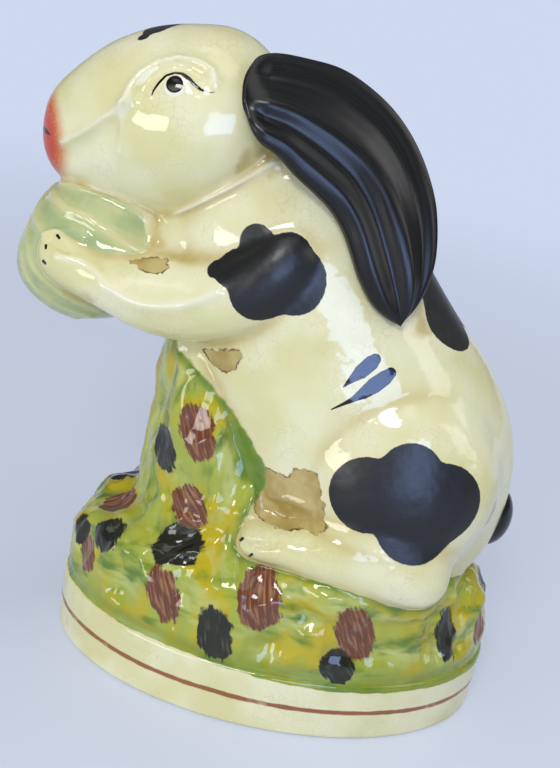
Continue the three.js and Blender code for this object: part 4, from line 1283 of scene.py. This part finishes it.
# %% Turf and leaf layers
LIME, LEAF_GREEN = (0.37, 0.42, 0.06), (0.12, 0.22, 0.02)
YELLOW, PALE_GREEN = (0.50, 0.41, 0.015), (0.50, 0.55, 0.18)
BROWN_DAB, BROWN_DAB_THIN = (0.14, 0.04, 0.02), (0.36, 0.17, 0.085)
BLACK_DAB, BLACK_DAB_THIN = (0.008, 0.008, 0.006), (0.06, 0.066, 0.052)
CELADON, CELADON_DEEP = (0.48, 0.53, 0.245), (0.35, 0.445, 0.215)
LEAF_PALE, LEAF_VEIN = (0.58, 0.59, 0.30), (0.63, 0.61, 0.32)
# how the noise of the strokes is squeezed on the ground and on the stump
LOW_SQUEEZE, HIGH_SQUEEZE = (0.35, 0.6, 1.0), (1.0, 1.0, 0.4)


def strokes(where, shift, size):
    """Noise drawn out into strokes that run along the plinth below and up the stump above."""
    moved = vectors("ADD", where, shift)
    low = cloud(vectors("MULTIPLY", moved, LOW_SQUEEZE), size, 3.0)
    high = cloud(vectors("MULTIPLY", moved, HIGH_SQUEEZE), size, 3.0)
    upper = step(apart(where)[2], GROUND_Z - 4, GROUND_Z + 12)
    return times_plus(upper, maths("SUBTRACT", high, low), low)


def turf_layers(where, border):
    """Washes of lime and yellow that ran together, strokes of pale and dark green where their own noise
    is high, and dark green along the plinth and by the share of the border, which also paints the shade
    where turf meets the body."""
    colour = blend(patches(where, 17, 0.41, 0.57), LIME, YELLOW)
    colour = blend(step(strokes(where, (41.0, 7.0, 13.0), 8), 0.48, 0.68), colour, PALE_GREEN)
    colour = blend(step(strokes(where, (-17.0, 29.0, 5.0), 7), 0.5, 0.68), colour, LEAF_GREEN)
    along_plinth = times(step(apart(where)[2], PLINTH_TOP + 9, PLINTH_TOP + 1),
                         strokes(where, (3.0, 11.0, -5.0), 6))
    return blend(most(along_plinth, border), colour, LEAF_GREEN)


def dab_layers(where, colour):
    """Dabs in brown and black, streaked along and frayed at the ends."""
    tone = field(where, "dab_tone")
    along = times(field(where, "dab_along"), 0.14)
    lane = add(tree_of(where), "CombineXYZ", {0: field(where, "dab_across"), 1: along, 2: tone})
    streak = cloud(lane, 1.1, 3.0)
    frayed = times_plus(streak, 2.6, field(where, "dab"))
    frayed = times_plus(cloud(where, 3.0), 3.0, frayed)
    cover = times(step(frayed, 3.2, 2.4), step(streak, 0.05, 0.25))
    brown = blend(step(streak, 0.45, 0.7), BROWN_DAB, BROWN_DAB_THIN)
    black = blend(step(streak, 0.5, 0.75), BLACK_DAB, BLACK_DAB_THIN)
    return blend(cover, colour, blend(tone, brown, black), 0.98)


def leaf_layers(where):
    """Celadon, deeper in the furrows and cream on the veins, with tans and crazing."""
    height = field(where, "vein")
    colour = blend(patches(where, 14, 0.35, 0.7), CELADON, LEAF_PALE)
    furrow = times(step(height, 0.4, 0.05), patches(where, 9, 0.3, 0.65))
    colour = blend(furrow, colour, CELADON_DEEP, 0.85)
    colour = blend(step(height, 0.4, 1.1), colour, LEAF_VEIN)
    # tans on the leaf: tan glaze, and painted shade by the paw and the rim
    colour = blend(step(tan_edge(where), 3.5, 2.0), colour, TANNED_AND_SHADE, 0.7)
    return crazing(where, colour)


print("brown dab", BROWN_DAB, "black dab", BLACK_DAB)

# %% Glaze of a section
GLOSS, GLAZE_BUMP = 0.5, 0.4
GLAZE_ROUGHNESS, SPOT_ROUGHNESS = 0.08, 0.28
HAIR_STRETCH, HAIR_HEIGHT = (0.25, 1.0, 1.4), 0.07


def figure(where, paint=None, dabs=False):
    """Cream, leaf, turf and spots in the order they were laid, with the paint of this section between.
    The spots are satin, with fine hair marks of the brush."""
    colour = cream_layers(where)
    if paint:
        colour = paint(where, colour)
    # dark green by the turf's border with the body, its painted edge and its corners: darker glaze, and
    # painted shade under the feet and in the hollows
    border = times(step(field(where, "verge"), 0.95, 0.6), cloud(where, 12))
    hem = times(step(field(where, "turf"), 1.0, 0.1), cloud(where, 5))
    border = most(times(most(border, hem), 1.5), times(field(where, "corner"), 0.5))
    grass = turf_layers(where, border)
    if dabs:
        grass = dab_layers(where, grass)
    for wash, painted in [(leaf_layers(where), "leaf"), (grass, "turf")]:
        edge = times_plus(cloud(where, 3), 0.5, field(where, painted))
        colour = blend(step(edge, 0.1, 0.4), colour, wash)
    black = step(times_plus(cloud(where, 1.2), 0.5, field(where, "spot")), 0.4, 0.1)
    colour = blend(black, colour, blend(cloud(where, 3), ENAMEL, ENAMEL_THIN))
    roughness = times_plus(black, SPOT_ROUGHNESS, GLAZE_ROUGHNESS)
    hair = cloud(vectors("MULTIPLY", where, HAIR_STRETCH), 0.7)
    height = times_plus(times(hair, black), HAIR_HEIGHT, cloud(where, 8))
    return colour, roughness, height, GLAZE_BUMP, GLOSS


glazed("torso_glaze", partial(figure, paint=leaf_paint), torso)
glazed("head_glaze", partial(figure, paint=face_paint), head)
glazed("limb_glaze", partial(figure, paint=claw_paint), *legs)
glazed("lettuce_glaze", figure, lettuce)
glazed("turf_glaze", partial(figure, dabs=True), mound)
print("glazes on the figure:", len(bpy.data.materials))

# %% [markdown]
# ## Enamel, plinth and bare clay
#
# The black enamel of the ears was brushed from root to tip, and each hair left a groove. A brown line
# was banded round the plinth on a wheel, and the plate underneath was left bare.

# %% Enamel of ears and tail
EAR_LANES, EAR_STREAKS = 34.0, 3.0
EAR_BUMP, EAR_GLOSS = 0.016, 0.4
TAIL_BUMP, TAIL_GLOSS = 0.2, 0.35


def ear_enamel(where):
    """Black with hair-fine grooves along the ear."""
    lane = {0: times(field(where, "across"), EAR_LANES), 1: times(field(where, "along"), EAR_STREAKS)}
    hair = cloud(add(tree_of(where), "CombineXYZ", lane), 1.0, 4.0)
    colour = blend(step(hair, 0.45, 0.8), ENAMEL, ENAMEL_THIN)
    return colour, times_plus(hair, 0.25, 0.18), hair, EAR_BUMP, EAR_GLOSS


def tail_enamel(where):
    """Black with soft blotches."""
    blotch = cloud(where, 4, 3.0)
    colour = blend(blotch, ENAMEL, ENAMEL_THIN)
    return colour, times_plus(blotch, 0.16, 0.14), blotch, TAIL_BUMP, TAIL_GLOSS


glazed("ear_enamel", ear_enamel, *ears)
glazed("tail_enamel", tail_enamel, tail)
print("enamel on", len(ears), "ears and the tail")

# %% Banded plinth and bare clay
BAND_Z, BAND_HALF, BAND_WAVER, BAND = 10.6, 0.85, 1.2, (0.27, 0.075, 0.016)
BARE_CLAY, BARE_CLAY_DARK = (0.62, 0.54, 0.38), (0.44, 0.36, 0.23)
PLINTH_ROUGHNESS, GRIT_BUMP = 0.09, 0.25


def plinth_glaze(where):
    """Cream with crazing and one brown line that swells and thins as the brush did. The turf's wash ran
    over its top edge, further towards the tail."""
    x, _, z = apart(where)
    colour = bare_cream(where, 20)
    height = times_plus(cloud(where, 22), BAND_WAVER, z)
    away = maths("ABSOLUTE", maths("SUBTRACT", height, BAND_Z + BAND_WAVER / 2))
    away = times_plus(cloud(where, 5), 0.6, away)
    line = times(step(away, BAND_HALF + 0.5, BAND_HALF), patches(where, 9, 0.1, 0.4))
    colour = blend(line, colour, BAND, 0.95)
    overlap = times_plus(cloud(where, 6), 1.4, times(step(x, -30.0, 30.0), 2.4))
    above = maths("ADD", z, overlap)
    grass = turf_layers(where, times(cloud(where, 12), 0.9))
    colour = blend(step(above, PLINTH_TOP + 0.2, PLINTH_TOP + 0.6), colour, grass)
    return colour, PLINTH_ROUGHNESS, cloud(where, 8), GLAZE_BUMP, GLOSS


def bare_clay(where):
    """Rough fired clay with grit and wear."""
    grit = cloud(where, 1.2, 6.0)
    colour = blend(patches(where, 12, 0.35, 0.7, 4.0), BARE_CLAY, BARE_CLAY_DARK)
    return colour, times_plus(grit, 0.2, 0.7), grit, GRIT_BUMP, GLOSS


glazed("plinth_glaze", plinth_glaze, plinth)
glazed("bare_clay", bare_clay, base_plate)
print("materials:", len(bpy.data.materials))

# %% [markdown]
# ## Studio
#
# The figure stands on pale paper near a window. A window and a skylight on the right make the highlights
# on back and ear, the sky lights from above, and front and room open the shadows on the camera's side.
# The floor fades into the backdrop for the camera and for reflections, so no horizon shows.

# %% Floor and world
FLOOR_COLOURS, BACKDROP = [(0.71, 0.77, 0.89), (0.73, 0.78, 0.90)], (0.62, 0.69, 0.87)
FLOOR_CORNERS = [(-10, -10, 0), (10, -10, 0), (10, 10, 0), (-10, 10, 0)]
FADE_START, FADE_END, FADE_LEAST = 90.0, 900.0, 0.35
FLOOR_ROUGHNESS, FLOOR_BUMP = 0.6, 0.02
SKY_COLOUR, SKY_STRENGTH = (0.80, 0.84, 0.90), 0.27


def floor_paint(where):
    """Pale matt paper with faint clouds."""
    return blend(cloud(where, 60), *FLOOR_COLOURS), FLOOR_ROUGHNESS, cloud(where, 2), FLOOR_BUMP, GLOSS


def fading(where, shader):
    """The shader, covered by the glow of the backdrop with distance, for camera and glossy rays alone."""
    tree = tree_of(where)
    far = step(vectors("LENGTH", where, out=1), FADE_START, FADE_END)
    eyes_and_gloss = maths("ADD", add(tree, "LightPath"), add(tree, "LightPath", out=3))
    share = times(times_plus(far, 1 - FADE_LEAST, FADE_LEAST), eyes_and_gloss)
    glow = add(tree, "Emission", {"Color": (*BACKDROP, 1.0)})
    return add(tree, "MixShader", {0: share, 1: shader, 2: glow})


floor = linked("floor", mesh_of("floor", np.array(FLOOR_CORNERS) / MILLIMETRE, [[0, 1, 2, 3]]))
glazed("floor_paint", floor_paint, floor, last=fading)

world = bpy.data.worlds.new("studio")
world.use_nodes = True
sky = world.node_tree
ending = next(node for node in sky.nodes if node.type == "OUTPUT_WORLD").inputs["Surface"]
dim = add(sky, "Background", {"Color": (*SKY_COLOUR, 1.0), "Strength": SKY_STRENGTH})
pale = add(sky, "Background", {"Color": (*BACKDROP, 1.0), "Strength": 1.0})
sky.links.new(add(sky, "MixShader", {0: add(sky, "LightPath"), 1: dim, 2: pale}), ending)
bpy.context.scene.world = world
print("floor and world ready")

# %% Lights
MIDDLE = np.array([-10.0, 0.0, 105.0])
PANE_BLUE = (0.40, 0.56, 1.0)
# name, direction from the figure's middle, distance, width and height in metres, power
LAMPS = [
    ("window", (0.80, -0.36, 0.48), 1.0, 0.35, 0.5, 1.2),
    ("skylight", (0.66, 0.26, 0.71), 1.1, 0.6, 0.5, 1.6),
    ("sky", (-0.1, -0.25, 1.0), 1.1, 0.9, 0.9, 3.2),
    ("front", (-0.16, -0.77, 0.62), 1.3, 0.4, 0.28, 6.2),
    ("room", (-0.61, -0.78, 0.02), 1.2, 0.6, 0.3, 3.8),
    ("pane", (0.30, -0.94, 0.15), 1.1, 0.43, 0.48, 4.7),
]


def placed(name, data, place, right, up, back):
    """A new object at a place in metres, with its own axes along right, up and back."""
    made = linked(name, data)
    axes = Matrix(np.stack([right, up, back], axis=1).tolist()).to_4x4()
    made.matrix_world = Matrix.Translation(place.tolist()) @ axes
    return made


def softbox(name, towards, distance, wide, high, power):
    """A rectangular light some way off in a direction from the figure's middle, turned to face it."""
    back = unit(np.asarray(towards, float))
    right = unit(np.cross([0, 0, 1], back))
    light = bpy.data.lights.new(name, "AREA")
    light.shape, light.size, light.size_y, light.energy = "RECTANGLE", wide, high, power
    lamp = placed(name, light, MIDDLE * MILLIMETRE + distance * back, right, np.cross(back, right), back)
    lamp.visible_camera = False
    return lamp


lamps = [softbox(*row) for row in LAMPS]
# blue sky in one pane, which shows in the glaze and adds nothing to the light on the clay
lamps[-1].data.color = PANE_BLUE
lamps[-1].visible_diffuse = False
print("lights:", [lamp.name for lamp in lamps])

# %% [markdown]
# ## Camera
#
# The photographer stood to the left of the rabbit, looking down by about 22 degrees with the camera a
# little tilted. Its place was fitted to the plinth's oval, so the view is set by that place and axes.

# %% Camera
CAMERA_PLACE = np.array([-13.176, -359.439, 241.048])
CAMERA_AHEAD = np.array([0.0, 0.929136, -0.369738])
FOCAL_LENGTH = 56.25
right = unit(SEEN_RIGHT - (SEEN_RIGHT @ CAMERA_AHEAD) * CAMERA_AHEAD)
camera = placed("camera", bpy.data.cameras.new("camera"), CAMERA_PLACE * MILLIMETRE,
                right, np.cross(right, CAMERA_AHEAD), -CAMERA_AHEAD)
camera.data.lens = FOCAL_LENGTH
bpy.context.scene.camera = camera
bpy.context.scene.view_settings.view_transform = "Standard"
print("camera at", CAMERA_PLACE, "mm")
